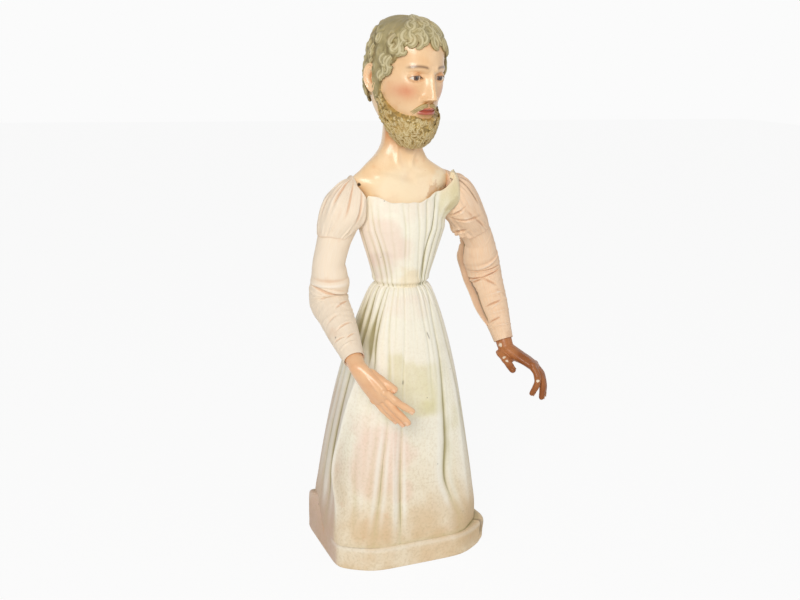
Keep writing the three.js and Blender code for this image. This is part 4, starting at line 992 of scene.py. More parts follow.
# Degrees from the front, how far the left strap stands out over the head of the puffed sleeve (mm)
STRAP_BULGE = [(46, 0), (55, 1.5), (62, 9), (69, 17), (75, 16.5), (82, 12), (90, 6), (98, 0)]

# Creases as on the skirt, with the share of the way from the waist to the neckline
BODICE_CREASES = [
    [(0, -84, 1.2, 2.2), (0.5, -86, 1.4, 2.6), (1, -86, 1.0, 3)],
    [(0, -64, 1.2, 2), (0.35, -68, 1.0, 2.4), (0.7, -74, 0.7, 3), (1, -76, 0.3, 3)],
    [(0, -52, 1.1, 1.8), (0.3, -56, 1.3, 2), (0.62, -64, 1.3, 2), (0.85, -70, 0.7, 2), (1, -73, 0.3, 2)],
    [(0, -41, 1.3, 1.6), (0.42, -50, 0.8, 2), (0.75, -59, 0.6, 2), (1, -63, 0.2, 2)],
    [(0, -31, 0.5, 1.6), (0.4, -36, 0.4, 2), (1, -46, 0.3, 2.4)],
    [(0, -11, 0.7, 1.6), (0.37, -15, 0.7, 1.6), (0.75, -17, 0.8, 1.8), (1, -24, 0.6, 2)],
    [(0, -5, 0.2, 1.4), (0.5, -7, 0.4, 1.6), (1, -12, 0.3, 2)],
    [(0, 23, 0.9, 1.5), (0.42, 15.5, 0.6, 1.8), (0.75, 11.5, 0.7, 1.8), (1, 8.5, 0.7, 2)],
    [(0, 30.5, 1.5, 1.5), (0.35, 30.5, 1.2, 1.7), (0.65, 27.5, 1.1, 1.8), (1, 29, 1.2, 1.8)],
    [(0, 38, 2.2, 1.8), (0.5, 35, 2.0, 2), (0.75, 43, 1.8, 2.2), (0.95, 49, 1.4, 2.2), (1, 50, 1.0, 2.4)],
    [(0, 48, 1.8, 2), (0.4, 47, 1.4, 2.4), (0.8, 54, 0.8, 2.6), (1, 57, 0.3, 3)],
    [(0, 62, 1.4, 2.2), (0.5, 62, 1.2, 2.6), (1, 66, 0.3, 3)],
]
# The plain pleats of the sides and the back: degrees at the waist and at the neckline, depths there (mm)
PLAIN_PLEATS = [
    (78, 80, 1.4, 1.2), (97, 96, 1.4, 1.4), (116, 112, 1.4, 1.4), (135, 131, 1.4, 1.0), (152, 150, 1.5, 1.4),
    (171, 170, 1.3, 1.3), (-171, -170, 1.5, 1.2), (-154, -152, 1.3, 1.4), (-136, -132, 1.5, 1.1),
    (-118, -114, 1.4, 1.4), (-100, -100, 1.4, 1.4),
]
BODICE_CREASES += [[(0, low, deep, 2.4), (1, high, less, 3)] for low, high, deep, less in PLAIN_PLEATS]
print("bodice creases:", len(BODICE_CREASES))

# %% Bodice


def torso_form(z, angle):
    """The torso's oval: a straight taper from waist to chest, then the depth rounds over as a
    quarter circle towards the shoulder."""
    below = np.clip((z - WAIST_Z) / (CHEST_Z - WAIST_Z), 0, 1)
    above = np.clip((z - CHEST_Z) / (SHOULDER_Z - CHEST_Z), 0, 1)
    half_width = lerp(WAIST_HALF[0], CHEST_HALF[0], below)
    rounded = lerp(SHOULDER_HALF_DEPTH, CHEST_HALF[1], np.sqrt(1 - above ** 2))
    return oval(half_width, np.minimum(lerp(WAIST_HALF[1], CHEST_HALF[1], below), rounded), angle)


def bodice_edge(angle):
    """Height of the upper edge: low at the side, nearly straight at the neck, with a narrow strap
    that still stands on the left and a low remnant of one on the right."""
    from_side = np.degrees(np.arcsin(np.abs(np.cos(angle))))
    armhole = np.where(np.cos(angle) > 0, smooth(from_side, 0, 9), smooth(from_side, 8, 22))
    left = lerp(ARMPIT_DROP, LEFT_STRAP_DROP, armhole)
    neckline = lerp(0.62 * NECKLINE_DROP, NECKLINE_DROP, smooth(from_side, 26, 76))
    left = lerp(left, neckline, smooth(from_side, 14, 34))
    right = lerp(ARMPIT_DROP, RIGHT_STRAP_DROP, smooth(from_side, 6, 15))
    right = lerp(right, NECKLINE_DROP, smooth(from_side, 22, 50))
    drop = np.where(np.sin(angle) < 0, right, left)
    return SHOULDER_Z - drop + 0.7 * mm * ripples(angle, 0 * angle, 13, 8, 16, 0.0)


def bodice_patch():
    """The bodice and the turned-in lip of its upper edge."""
    angle = full_turn(BODICE_COLUMNS)
    degrees = np.degrees(angle)
    up = np.linspace(0, 1, BODICE_ROWS)[:, None]
    z = lerp(WAIST_Z - 1.5 * mm, bodice_edge(angle), up)
    radius = torso_form(z, angle)
    depth, valley, crest = creases(angle, up, radius, BODICE_CREASES)
    panel = between(degrees, -46, -42, 34, 38)
    waist = mound(z - WAIST_Z - 1.5 * mm, 1.6 * mm)
    tucks = -0.9 * mm * waist + (0.9 + 0.9 * panel) * mm * mound(z - WAIST_Z - 5 * mm, 3 * mm)
    slack = ripples(angle, up, 17, 12, 8, 1.2) * 0.8 * mm
    bulge = curve_through(STRAP_BULGE, np.clip(degrees, 46, 98))[0] * mm * smooth(z, 0.384, 0.408)
    radius = radius + bulge + 1.3 * mm - 1.4 * depth * smooth(1 - up, 0.0, 0.05) + tucks + slack
    lip = np.array([-0.5, -1.6, -2.4])[:, None] * mm
    inner = radius[-1:] + lip
    lip_z = z[-1:] + np.array([0.5, 0.2, -6])[:, None] * mm
    stitches = panel * waist * smooth(np.cos(36 * angle + 4 * np.sin(3 * angle)), 0.5, 0.95)
    points = np.concatenate([ring_points(radius, angle, z), ring_points(inner, angle, lip_z)])
    uv = cloth_places(angle * BODICE_RADIAN, np.concatenate([z, lip_z]))
    extra = np.zeros_like(inner)
    # Painted shade in the pleats' valleys and along the waist seam, painted highlight on their crests; the gap
    # mark here is a row of stitches
    marks = {"valley": np.clip(2.1 * valley + 0.25 * waist, 0, 1), "crest": crest, "gap": 0.2 * stitches}
    return patch(points, uv, **{key: np.concatenate([value, extra]) for key, value in marks.items()})


bodice = add_piece("bodice_cloth", [bodice_patch()], bodice_finish)
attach(bodice, "body")
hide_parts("bodice")

# %% [markdown]
# ## Bust and neck
# Head, neck and shoulders are one hollow carving. The bust is a stack of ovals whose half width and
# reach in front and behind change with the height, with a few soft bumps added for collarbones,
# the pit of the throat and the two tendons of the neck.

# %% Bust
# Height, half width, reach forward, reach back, shift to the figure's left (mm)
BUST_STATIONS = [
    (386, 46.8, 28.6, 28.6, 0), (405, 47.2, 26.6, 26.6, 0), (416, 49.0, 24.4, 24.4, -1.0),
    (421, 52.6, 23.2, 23.4, -2.2), (425, 55.8, 22.0, 22.4, -3.0), (429, 57.0, 20.6, 21.2, -3.0),
    (432.5, 56.6, 19.0, 20.0, -2.4), (435.5, 53.6, 17.9, 19.6, -2.0), (438.5, 50.0, 17.0, 19.8, -1.8),
    (441, 46.4, 16.4, 20.0, -2.6), (445, 40.8, 15.0, 21.6, -4.0),
    (449.5, 34.6, 13.8, 23.8, -4.8), (457.8, 27.0, 12.2, 27.6, -3.4), (466, 22.8, 11.8, 29.6, -2.4),
    (478, 21.0, 11.8, 30, -2), (500, 20.8, 12.2, 30, -2), (540, 23, 14, 32, -2),
]


def bust_patch():
    """Ovals with their own reach in front and behind, plus bumps for bones and tendons. They swell
    at the shoulders, most on the right, where the carving laps over the armhole."""
    angle = full_turn(240)
    z = np.linspace(BUST_STATIONS[0][0], BUST_STATIONS[-1][0], 160)[:, None]
    width, ahead, behind, shift = curve_through(BUST_STATIONS, z)
    x = width * np.sin(angle)
    y = np.where(np.cos(angle) > 0, -ahead, -behind) * np.cos(angle)
    front = smooth(np.cos(angle), 0.0, 0.5)
    bone_line = 429 + 0.2 * np.abs(x)
    bones = 1.3 * mound(z - bone_line, 4) * between(np.abs(x), 5, 11, 30, 42)
    pit = -1.8 * mound(np.hypot(x, z - 434), 5)
    tendon = 1.5 * mound(np.abs(x) - (5 + 0.2 * (z - 436)), 3.2) * smooth(z, 438, 448)
    throat = 1.2 * mound(x, 5) * mound(z - 474, 9)
    y = y - (bones + pit + tendon + throat) * front
    points = stacked(x + shift, y, z) * mm
    under_chin = 0.95 * mound(z - 484, 19) * smooth(np.cos(angle), -0.4, 0.3)
    shade = under_chin + 0.25 * mound(np.hypot(x, z - 434), 6) * front
    return patch(points, deep=np.clip(shade, 0, 1), blush=0.0, lips=0.0, brow=0.0)


bust = add_piece("bust_and_neck", [bust_patch()], head_flesh)
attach(bust, "body")
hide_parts("head_and_bust")

# %% [markdown]
# ## The head's own frame
# The head turns a little to the figure's left and bows. Its pieces are shaped upright in a frame of
# their own, in millimetres with the face towards -Y, and then set in place. The line through the
# two eyes gives the turn, and the middle of that line gives the place.

# %% Head frame
HEAD_BOW = math.radians(10)
EYE_LINE = np.array([0, -36.8, 3.0])


def middle_of(name):
    """The middle of a frame node's box."""
    low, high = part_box(name)
    return np.array((low + high) / 2)


right_eye, left_eye = middle_of("glass_eye_right"), middle_of("glass_eye_left")
eye_axis = left_eye - right_eye
HEAD_TURN = math.atan2(eye_axis[1], eye_axis[0])
HALF_EYE_SPACING = np.linalg.norm(eye_axis) / 2 / mm
head_turn = np.array(Matrix.Rotation(HEAD_TURN, 3, "Z") @ Matrix.Rotation(HEAD_BOW, 3, "X"))
head_middle = (right_eye + left_eye) / 2 - head_turn @ EYE_LINE * mm


def on_head(points):
    """Points of the head's own frame, in millimetres, set in place on the figure."""
    return points @ (head_turn.T * mm) + head_middle


print("head: turned", round(math.degrees(HEAD_TURN), 1), "degrees")
print("eyes:", round(2 * HALF_EYE_SPACING, 1), "mm apart")

# %% [markdown]
# ## The face
# The face is a calm, general one on the proportions of a drawing book: eyes about halfway up the
# head, the nose's foot halfway from brow to chin, the mouth a third of the way from there down. The
# surface is a radius over an angle and a height, so that each feature is a bump or a hollow added
# to it. The skin wraps the ball of each eye, and the lids are the edge of an almond-shaped opening
# where it sinks behind the glass. The same surface goes on round the bare head under the hair.

# %% Features of the face
# Height, half width, reach forward, reach back (mm) of the bare head
SKULL_STATIONS = [
    (-58, 14, 30, 6), (-52, 20, 39, 16), (-44, 25.5, 43.5, 26), (-34, 30, 45.5, 34), (-20, 34, 46, 40),
    (-5, 36, 46, 44), (10, 36.6, 46.4, 45.8), (24, 36, 45, 45.5), (36, 33.5, 41, 43), (44, 29, 35.5, 38.5),
    (50, 22, 28, 30), (54.5, 14, 18, 19), (57, 4, 5, 6),
]
FACE_COLUMNS, FACE_ROWS = 301, 300
EYE_MIDDLE = np.array([HALF_EYE_SPACING, EYE_LINE[2]])
EYE_HALF_WIDTH, LID_RISE, LID_FALL = 6.4, 2.9, 1.7
EYE_BALL, EYE_SET_BACK, EYE_LIFT, LID_THICKNESS = 7.8, 2.2, 0.3, 0.8
NOSE_FOOT, MOUTH_LINE, BROW_LINE, CHIN_LINE = -19.0, -29.0, 12.5, -46.0
MOUTH_HALF = 11.5
# Share of even steps in the columns' angles; the rest is a cube, which crowds them in front
EVEN_SHARE = 0.39


def eye_opening(x, z):
    """How far inside the almond opening a point lies, in millimetres, negative outside it."""
    across = (np.abs(x) - EYE_MIDDLE[0]) / EYE_HALF_WIDTH
    arch = np.maximum(1 - across ** 2, 0)
    beyond = np.maximum(np.abs(across) - 1, 0) * EYE_HALF_WIDTH
    upper = EYE_MIDDLE[1] + LID_RISE * arch ** 0.75
    lower = EYE_MIDDLE[1] - LID_FALL * arch
    return np.minimum(upper - z, z - lower) - beyond


def in_mouth(x):
    """1 in the middle of the mouth, falling as a half circle to 0 at its corners."""
    return np.sqrt(np.maximum(1 - (x / MOUTH_HALF) ** 2, 0))


def face_features(x, z):
    """Millimetres added to the bare head: the sum of the bumps and hollows of a plain face."""
    aside = np.abs(x)
    inside = eye_opening(x, z)
    from_eye = np.hypot((aside - EYE_MIDDLE[0]) / 1.25, z - EYE_MIDDLE[1])
    brow = 2.0 * mound(z - BROW_LINE - 0.03 * (15 - aside), 4.0) * between(aside, 1, 7, 20, 30)
    socket = -4.6 * mound(np.hypot((aside - 13.5) / 1.45, z - 5.5), 6.2)
    lids = 1.6 * mound(from_eye, 7.4)
    rim = 0.4 * mound(inside + 0.7, 0.7)
    fold = -0.8 * mound(z - (EYE_MIDDLE[1] + LID_RISE + 2.0), 0.9) * mound(aside - EYE_MIDDLE[0], 7)
    down_nose = np.clip((BROW_LINE - z) / (BROW_LINE - NOSE_FOOT - 4), 0, 1)
    nose_width = lerp(3.6, 5.6, down_nose)
    nose_rise = lerp(2.0, 12.5, down_nose ** 1.3) * smooth(z, NOSE_FOOT - 3, NOSE_FOOT + 4.5)
    nose = nose_rise * np.exp(-np.abs(x / nose_width) ** 2.2) * smooth(-z, -BROW_LINE - 5, -BROW_LINE + 6)
    wings = 4.6 * mound(np.hypot((aside - 6.4) / 0.95, (z - NOSE_FOOT - 2.4) / 1.05), 3.0)
    wing_groove = -1.2 * mound(np.hypot(aside - 10.5, z - NOSE_FOOT - 3), 2.6)
    cheeks = 2.2 * mound(np.hypot(aside - 22, (z + 9) / 1.1), 11)
    muzzle = 2.6 * mound(np.hypot(x / 1.3, z - MOUTH_LINE + 1), 10)
    philtrum = -0.7 * mound(x, 1.7) * mound(z - (NOSE_FOOT + MOUTH_LINE) / 2, 3.2)
    mouth = in_mouth(x)
    upper_lip = 2.0 * mouth * mound(z - MOUTH_LINE - 1.9, 1.7)
    lower_lip = 2.6 * mouth * mound(z - MOUTH_LINE + 2.7, 2.2)
    parting = -1.6 * mouth * mound(z - MOUTH_LINE - 0.25 * mound(x, 3), 0.7)
    under_lip = -1.4 * mound(np.hypot(x / 1.6, z - MOUTH_LINE + 7.5), 3.2)
    chin = 2.6 * mound(np.hypot(x / 1.2, z - CHIN_LINE), 8)
    temples = -1.8 * mound(np.hypot(aside - 32, z - 17), 9)
    forms = brow + socket + lids + rim + fold + nose + wings + wing_groove + cheeks
    return forms + muzzle + philtrum + upper_lip + lower_lip + parting + under_lip + chin + temples

# %% Face


def lid_radius(angle, z):
    """Distance from the head's axis to the skin over an eye: where a level ray leaves the eye's
    ball, plus the thickness of a lid, or 0 where it misses the ball."""
    aside, ahead = HALF_EYE_SPACING, -EYE_LINE[1] - EYE_SET_BACK
    along = aside * np.abs(np.sin(angle)) + ahead * np.cos(angle)
    level = EYE_BALL ** 2 - (z - EYE_LINE[2] - EYE_LIFT) ** 2
    inside = along ** 2 - aside ** 2 - ahead ** 2 + level
    return np.where(inside > 0, along + np.sqrt(np.maximum(inside, 0)) + LID_THICKNESS, 0)


def face_patch():
    """The face and the bare head behind it: an oval plus the features, or an eye's lid where that
    stands further out, less the depth of the eyes' openings."""
    even = np.linspace(-1, 1, FACE_COLUMNS)[None, :]
    angle = np.pi * (EVEN_SHARE * even + (1 - EVEN_SHARE) * even ** 3)
    z = np.linspace(-57, 50, FACE_ROWS)[:, None]
    width, ahead, behind = curve_through(SKULL_STATIONS, z)
    reach = np.where(np.cos(angle) > 0, ahead, behind)
    base = oval(width, reach, angle)
    x = base * np.sin(angle)
    front = smooth(np.cos(angle), 0.1, 0.45)
    skin = np.maximum(base + face_features(x, z) * front, lid_radius(angle, z))
    opening = eye_opening(x, z)
    radius = skin - 6.0 * smooth(opening, -0.1, 0.5) * front
    aside = np.abs(x)
    lips = np.clip(in_mouth(x) * 1.6, 0, 1) * smooth(-np.abs(z - MOUTH_LINE + 0.5), -4.6, -2.6) * front
    brow_line = BROW_LINE + 3.2 - 0.020 * (aside - 13) ** 2
    brows = mound(z - brow_line, 1.5) * between(aside, 4, 8, 21, 27) * front
    lash = mound(opening + 0.15, 0.55) * smooth(z, EYE_MIDDLE[1] - 1, EYE_MIDDLE[1] + 1.2) * front
    blush = mound(np.hypot(aside - 23, (z + 11) / 0.9), 9) * front
    nose_shade = mound(np.hypot(aside - 4.2, z - NOSE_FOOT + 0.5), 2.2)
    shade_over_lid = mound(np.hypot((aside - EYE_MIDDLE[0]) / 1.4, z - EYE_MIDDLE[1] - 5.8), 2.4)
    # The deep mark is a flat tint over the face plus painted shade at the nostrils, over the lids and round the
    # eye openings
    deep = 0.24 + 0.75 * nose_shade + 0.35 * shade_over_lid + 0.3 * mound(opening + 1, 1.4)
    deep = np.clip(deep, 0, 1) * front
    points = on_head(ring_points(radius, angle, z))
    return patch(points, deep=deep, blush=blush, lips=0.9 * lips, brow=np.clip(0.8 * brows + lash, 0, 1))


face = add_piece("face", [face_patch()], head_flesh)
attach(face, "body")
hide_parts("head_and_bust")

# %% [markdown]
# ## Eyes and ears
# A glass eye is a ball with a slightly fuller cornea. Its grid runs from the pupil to the back, so
# the stored gaze is simply the row, and the finish paints pupil, iris and white from it. An ear is
# a dish over an egg-shaped outline: a profile from the hollow to the rolled rim, then back.

# %% Eyes and ears
GAZE_DOWN, GAZE_ASIDE = math.radians(-4), math.radians(-9)


def eye_patch(side):
    """A ball turned on its gaze: radius plus a cornea that swells near the pupil."""
    polar = np.linspace(0, np.pi, 60)[:, None]
    turn_angle = full_turn(72, 0)
    radius = EYE_BALL + 0.35 * mound(polar, 0.45)
    ahead = radius * np.cos(polar)
    across = radius * np.sin(polar)
    ball = stacked(across * np.cos(turn_angle), -ahead + 0 * turn_angle, across * np.sin(turn_angle))
    tilt = np.array(Matrix.Rotation(GAZE_ASIDE, 3, "Z") @ Matrix.Rotation(GAZE_DOWN, 3, "X"))
    middle = np.array([side * HALF_EYE_SPACING, EYE_LINE[1] + EYE_SET_BACK, EYE_LINE[2] + EYE_LIFT])
    return patch(on_head(ball @ tilt.T + middle), gaze=polar / np.pi)


EAR_MIDDLE = np.array([37.5, 6.0, -6.0])
EAR_HALF = np.array([8.6, 14.6])
# Share of the way out, height of the surface (mm): hollow, inner fold, groove, rolled rim, back
EAR_PROFILE = [
    (0, -2.4), (0.3, -2.6), (0.5, 0.6), (0.62, 1.3), (0.74, 0.2), (0.86, 1.6), (0.95, 2.2), (1.0, 0.8),
]


def ear_patch(side):
    """A dish over an egg-shaped outline; rows run from the hollow out to the rim and back to the head."""
    share = np.linspace(0, 1, 34)[:, None]
    turn_angle = full_turn(80, 0)
    height = curve_through(EAR_PROFILE, share)[0] + 0 * turn_angle
    lobe = smooth(-np.sin(turn_angle), 0.55, 1.0)
    height = lerp(height, 0.6 + 0 * height, lobe * smooth(share, 0.35, 0.6) * 0.8)
    narrow = 1 - 0.22 * smooth(-np.sin(turn_angle), -0.2, 1.0)
    share = np.concatenate([share, [[1.0], [0.92], [0.7]]])
    height = np.concatenate([height, np.array([[-0.9], [-2.4], [-7.0]]) + 0 * turn_angle])
    depth_way = EAR_HALF[0] * share * np.cos(turn_angle) * narrow
    up_way = EAR_HALF[1] * share * np.sin(turn_angle)
    flare = 0.28 * (depth_way + EAR_HALF[0])
    lean = 0.18 * up_way
    points = stacked(side * (height + flare - 1.0), depth_way + lean, up_way)
    points = points + EAR_MIDDLE * np.array([side, 1, 1])
    inner = smooth(1 - np.hypot(depth_way / EAR_HALF[0], up_way / EAR_HALF[1]), 0.2, 0.5)
    # Painted shade in the ear's hollow
    deep = 0.8 * smooth(-height, 0.4, 2.2) * inner
    return patch(on_head(points), flip=side > 0, deep=deep, blush=0.25, lips=0.0, brow=0.0)


for side, word in ((-1, "right"), (1, "left")):
    eye = add_piece(f"eye_{word}", [eye_patch(side)], eye_finish)
    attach(eye, "body")
    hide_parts(f"glass_eye_{word}")
    ear = add_piece(f"ear_{word}", [ear_patch(side)], head_flesh)
    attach(ear, "body")
    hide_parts("head_and_bust")

# %% [markdown]
# ## Carved hair
# The hair is cut from the same wood as the head: a cap of small snail curls that lie close round
# the forehead and the nape and flatten towards the crown. The cap is a form over longitude and
# latitude, a little squarer than an ellipsoid. Curls are added as heights: each point belongs to its
# nearest curl, and the height there winds outwards as a spiral, a cosine of the angle plus the
# distance.

# %% Curls


def curl_heights(points, middles, size, winding):
    """Spiral ridges round the nearest of many middles, from 0 in a groove to 1 on a ridge.

    The angle round the middle is measured in a plane that touches the head there, and curls wind
    one way or the other by turns. Also gives the distance from the middle as a share of size."""
    flat = points.reshape(-1, 3)
    gap = (flat ** 2).sum(1)[:, None] + (middles ** 2).sum(1)[None, :] - 2 * flat @ middles.T
    nearest = gap.argmin(1)
    middle = middles[nearest]
    outward = unit(middle)
    east = np.cross(np.array([0, 0, 1.0]), outward)
    east = east / np.maximum(np.linalg.norm(east, axis=1, keepdims=True), 1e-9)
    north = np.cross(outward, east)
    offset = flat - middle
    a, b = (offset * east).sum(1), (offset * north).sum(1)
    distance = np.hypot(a, b)
    hand = np.where(nearest % 2, 1.0, -1.0)
    spiral = np.cos(hand * np.arctan2(b, a) + distance / size * winding + nearest)
    height = 0.5 + 0.5 * spiral
    return height.reshape(points.shape[:-1]), (distance / size).reshape(points.shape[:-1])


def golden_middles(count, lowest, highest):
    """Directions spread evenly over a band of the sphere: equal steps of height, golden turns."""
    step = np.arange(count) + 0.5
    up = lerp(math.sin(lowest), math.sin(highest), step / count)
    turn_angle = step * math.pi * (3 - math.sqrt(5))
    level = np.sqrt(1 - up ** 2)
    return np.stack([level * np.cos(turn_angle), level * np.sin(turn_angle), up], -1)


# %% Hair
HAIR_HALF = np.array([39.0, 48.5, 54.0])
HAIR_MIDDLE = np.array([0, 0.5, 4.0])
HAIR_ROUNDING = 2.5
HAIR_COLUMNS, HAIR_ROWS = 420, 190
CURL_SIZE, CURL_RISE = 6.8, 2.6

# Degrees from the front, latitude of the hair's edge
HAIRLINE = [
    (0, 40.5), (14, 41), (28, 39.7), (40, 35.5), (46, 31.8), (55, 16.6), (63, 8), (70, -5.6), (75, -16),
    (79, -37), (91, -38), (98, 4), (110, 4), (118, -18), (130, -38), (180, -38),
]


def hair_edge(longitude):
    """Latitude of the hair's edge at a longitude from the front."""
    return np.radians(curve_through(HAIRLINE, np.degrees(np.abs(longitude)))[0])


def hair_form(longitude, latitude):
    """The hair's rounded form and its outward direction: along each direction the surface lies at
    one over a p-norm of the level part and the upright part of that direction."""
    level = np.cos(latitude)
    towards = stacked(level * np.sin(longitude), -level * np.cos(longitude), np.sin(latitude))
    share = towards / HAIR_HALF
    flat, tall = np.hypot(share[..., 0], share[..., 1]), np.abs(share[..., 2])
    norm = (flat ** HAIR_ROUNDING + tall ** HAIR_ROUNDING) ** (1 / HAIR_ROUNDING)
    level_pull = np.maximum(flat, 1e-9) ** (HAIR_ROUNDING - 2)
    tall_pull = np.maximum(tall, 1e-9) ** (HAIR_ROUNDING - 2)
    outward = unit(share / HAIR_HALF * stacked(level_pull, level_pull, tall_pull))
    return towards / norm[..., None] + HAIR_MIDDLE, outward


def hair_patch():
    """The cap from its edge to the crown. Its edge sinks into the head, curls stand up from it."""
    longitude = full_turn(HAIR_COLUMNS)
    degrees = np.degrees(np.abs(longitude))
    edge = hair_edge(longitude)
    up = np.linspace(0, 1, HAIR_ROWS)[:, None]
    latitude = lerp(edge, np.pi / 2, up)
    form, outward = hair_form(longitude + 0 * latitude, latitude)
    middles = golden_middles(130, math.radians(-50), math.radians(88)) * HAIR_HALF
    curl, distance = curl_heights(form - HAIR_MIDDLE, middles, CURL_SIZE, 4.6)
    beside_ears = 0.5 * between(degrees, 75, 80, 91, 96)
    crown = np.clip(smooth(np.degrees(latitude), 46, 64) + beside_ears, 0, 1)
    from_edge = (latitude - edge) * 50
    sway = 4 * np.sin(3 * latitude) + 4 * ripples(longitude, latitude, 31, 6, 5, 0.6)
    strands = 0.5 + 0.5 * np.cos(17 * longitude + sway)
    pattern = lerp(curl, 0.35 + 0.35 * strands, crown)
    dome = 1 - 0.5 * np.clip(distance, 0, 1.4) ** 2 * (1 - crown)
    rise = lerp(CURL_RISE, 1.0, crown) * (0.3 + 0.7 * pattern) * np.maximum(dome, 0.1)
    rise = rise * smooth(from_edge, 0.0, 3.0) - 4.0 * smooth(-from_edge, -1.8, 0.0)
    waves = 1.6 * ripples(longitude, latitude, 33, 9, 5, 0.8)
    points = form + outward * (rise + waves * smooth(from_edge, 0, 6))[..., None]
    shown = smooth(from_edge, 0.5, 3.0)
    # Painted highlight on the curls' crests and painted shade in their grooves; the crown is darker throughout
    crest = smooth(pattern * dome, 0.55, 0.95) * lerp(0.7, 0.2, crown) * shown
    valley = smooth(-pattern * np.maximum(dome, 0), -0.3, -0.05) * lerp(0.8, 0.2, crown) + 0.45 * crown
    return patch(on_head(points), crest=crest, valley=np.clip(valley, 0, 1))


# %% [markdown]
# ## Locks
# Over the cap lie separate locks: S-shaped ones that hang over the forehead and the temples, and
# small commas in the beard. A lock is a tapering oval section carried along a path on the head. The
# path is drawn by its heading, which turns as the lock runs on, and all locks are worked out at once
# as one array of lock, step and corner.

# %% Locks
LOCK_STEPS, LOCK_SIDES = 15, 18
LOCK_RADIUS = 46.0


def locks_on(form, roots, length, width, height, heading, bend, curl):
    """Tapered tubes on a surface. form maps (longitude, latitude) to points and outward directions;
    roots are (lock, 2) places, and the rest are one value for each lock. The heading at a share t
    of the length is heading + bend t + curl t^3. Three strands run along each lock's back."""
    share = np.linspace(0, 1, LOCK_STEPS)[None, :]
    pointing = heading[:, None] + bend[:, None] * share + curl[:, None] * share ** 3
    step = length[:, None] / (LOCK_STEPS - 1)
    east = np.cumsum(np.cos(pointing) * step, 1)
    north = np.cumsum(np.sin(pointing) * step, 1)
    latitude = roots[:, 1:2] + north / LOCK_RADIUS
    longitude = roots[:, :1] + east / LOCK_RADIUS / np.maximum(np.cos(latitude), 0.35)
    spine, outward = form(longitude, latitude)
    sideways = np.cross(unit(np.gradient(spine, axis=1)), outward)
    taper = np.sin(np.pi * np.clip(0.14 + 0.83 * share, 0, 1)) ** 0.6
    corner_angle = full_turn(LOCK_SIDES, 0)[None]
    strand = 0.5 - 0.5 * np.cos(6 * corner_angle)
    wide = (width[:, None] * taper)[..., None] * np.cos(corner_angle)
    high = (height[:, None] * taper)[..., None] * np.sin(corner_angle) * (0.72 + 0.28 * strand)
    section = sideways[:, :, None] * wide[..., None] + outward[:, :, None] * high[..., None]
    points = on_head(spine[:, :, None] + section)
    back = np.clip(np.sin(corner_angle), 0, 1)
    # Painted highlight along each lock's back and painted shade on its underside and between strands
    crest = back ** 2 * strand * taper[..., None] + 0 * wide
    valley = np.clip(smooth(-np.sin(corner_angle), -0.3, 0.4) + 0.35 * (1 - strand), 0, 1) + 0 * wide
    return [patch(one, crest=0.8 * lit, valley=dark) for one, lit, dark in zip(points, crest, valley)]


# Distance above the hair's edge (mm), widest longitude (degrees), how many: the rows of locks
LOCK_ROWS = [
    (9, 74, 17), (17, 74, 15), (25, 70, 12), (33, 62, 9), (41, 48, 6),
    (7, 178, 24), (18, 178, 20), (30, 178, 15),
]


def hair_locks():
    """Rows of locks that follow the edge of the hair: S-shaped over forehead and temples, where
    their tips hang over the edge, and smaller ones all round."""
    draw = np.random.default_rng(43)
    rows, sizes = [], []
    for lift, widest, count in LOCK_ROWS:
        turn_angle = np.radians(np.linspace(-widest, widest, count)) + draw.uniform(-0.05, 0.05, count)
        place = hair_edge(turn_angle) + (lift + draw.uniform(-2, 2, count)) / LOCK_RADIUS
        behind = (widest > 90) & (np.abs(turn_angle) < math.radians(96))
        rows.append(np.stack([turn_angle, place], -1)[~behind])
        sizes.append(np.full(count, 1.0 if widest < 90 else 0.78)[~behind])
    roots, size = np.concatenate(rows), np.concatenate(sizes)
    count = len(roots)
    side = np.where(draw.uniform(size=count) < 0.5, -1.0, 1.0)
    return locks_on(
        hair_form, roots, size * draw.uniform(14, 21, count),
        size * draw.uniform(3.4, 4.6, count), size * draw.uniform(2.8, 4.0, count),
        -np.pi / 2 + side * draw.uniform(0.6, 1.3, count), -side * draw.uniform(0.8, 1.8, count),
        -side * draw.uniform(1.2, 3.4, count))


hair = add_piece("carved_hair", [hair_patch()] + hair_locks(), hair_finish)
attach(hair, "body")
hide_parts("head_and_bust")

# %% [markdown]
# ## Beard and moustache
# The beard grows from the sideburns round the jaw to a rounded point, short and tightly curled. It
# is one form of rings under the face: where the cheeks and lips are bare it lies inside the face, and
# along the jaw it stands out. Its own small curls and locks are made as in the hair.

# %% Beard
# Height, half width, reach forward, reach back (mm)
BEARD_STATIONS = [
    (-73, 5, 31, -24), (-71, 11, 36, -18), (-66, 18.5, 42.5, -9), (-58, 25, 47, 2), (-48, 29.5, 49.2, 14),
    (-36, 33, 49.4, 26), (-22, 35.4, 48, 36), (-8, 37, 46, 42), (4, 37.6, 45, 44), (12, 37.4, 44, 44),
]
BEARD_COLUMNS, BEARD_ROWS = 330, 150
BEARD_CURLS, BEARD_LOCKS = 330, 280

# Degrees from the front, height of the beard's upper edge (mm)
BEARD_EDGE = [
    (0, -36.5), (12, -36.5), (22, -35), (37, -36), (52, -36), (69, -31), (80, -23), (88, -10), (95, -6),
    (100, -28), (120, -45), (180, -60),
]


def beard_form(angle, z):
    """The beard's ovals, with the direction that stands out from them."""
    width, ahead, behind = curve_through(BEARD_STATIONS, z)
    middle = (behind - ahead) / 2
    reach = (ahead + behind) / 2
    points = stacked(width * np.sin(angle), middle - reach * np.cos(angle), z)
    out_z = -0.9 * smooth(-z, 52, 74)
    outward = stacked(np.sin(angle) / np.maximum(width, 4), -np.cos(angle) / np.maximum(reach, 4), 0.0)
    return points, unit(unit(outward) + stacked(0 * angle, 0 * angle, out_z))


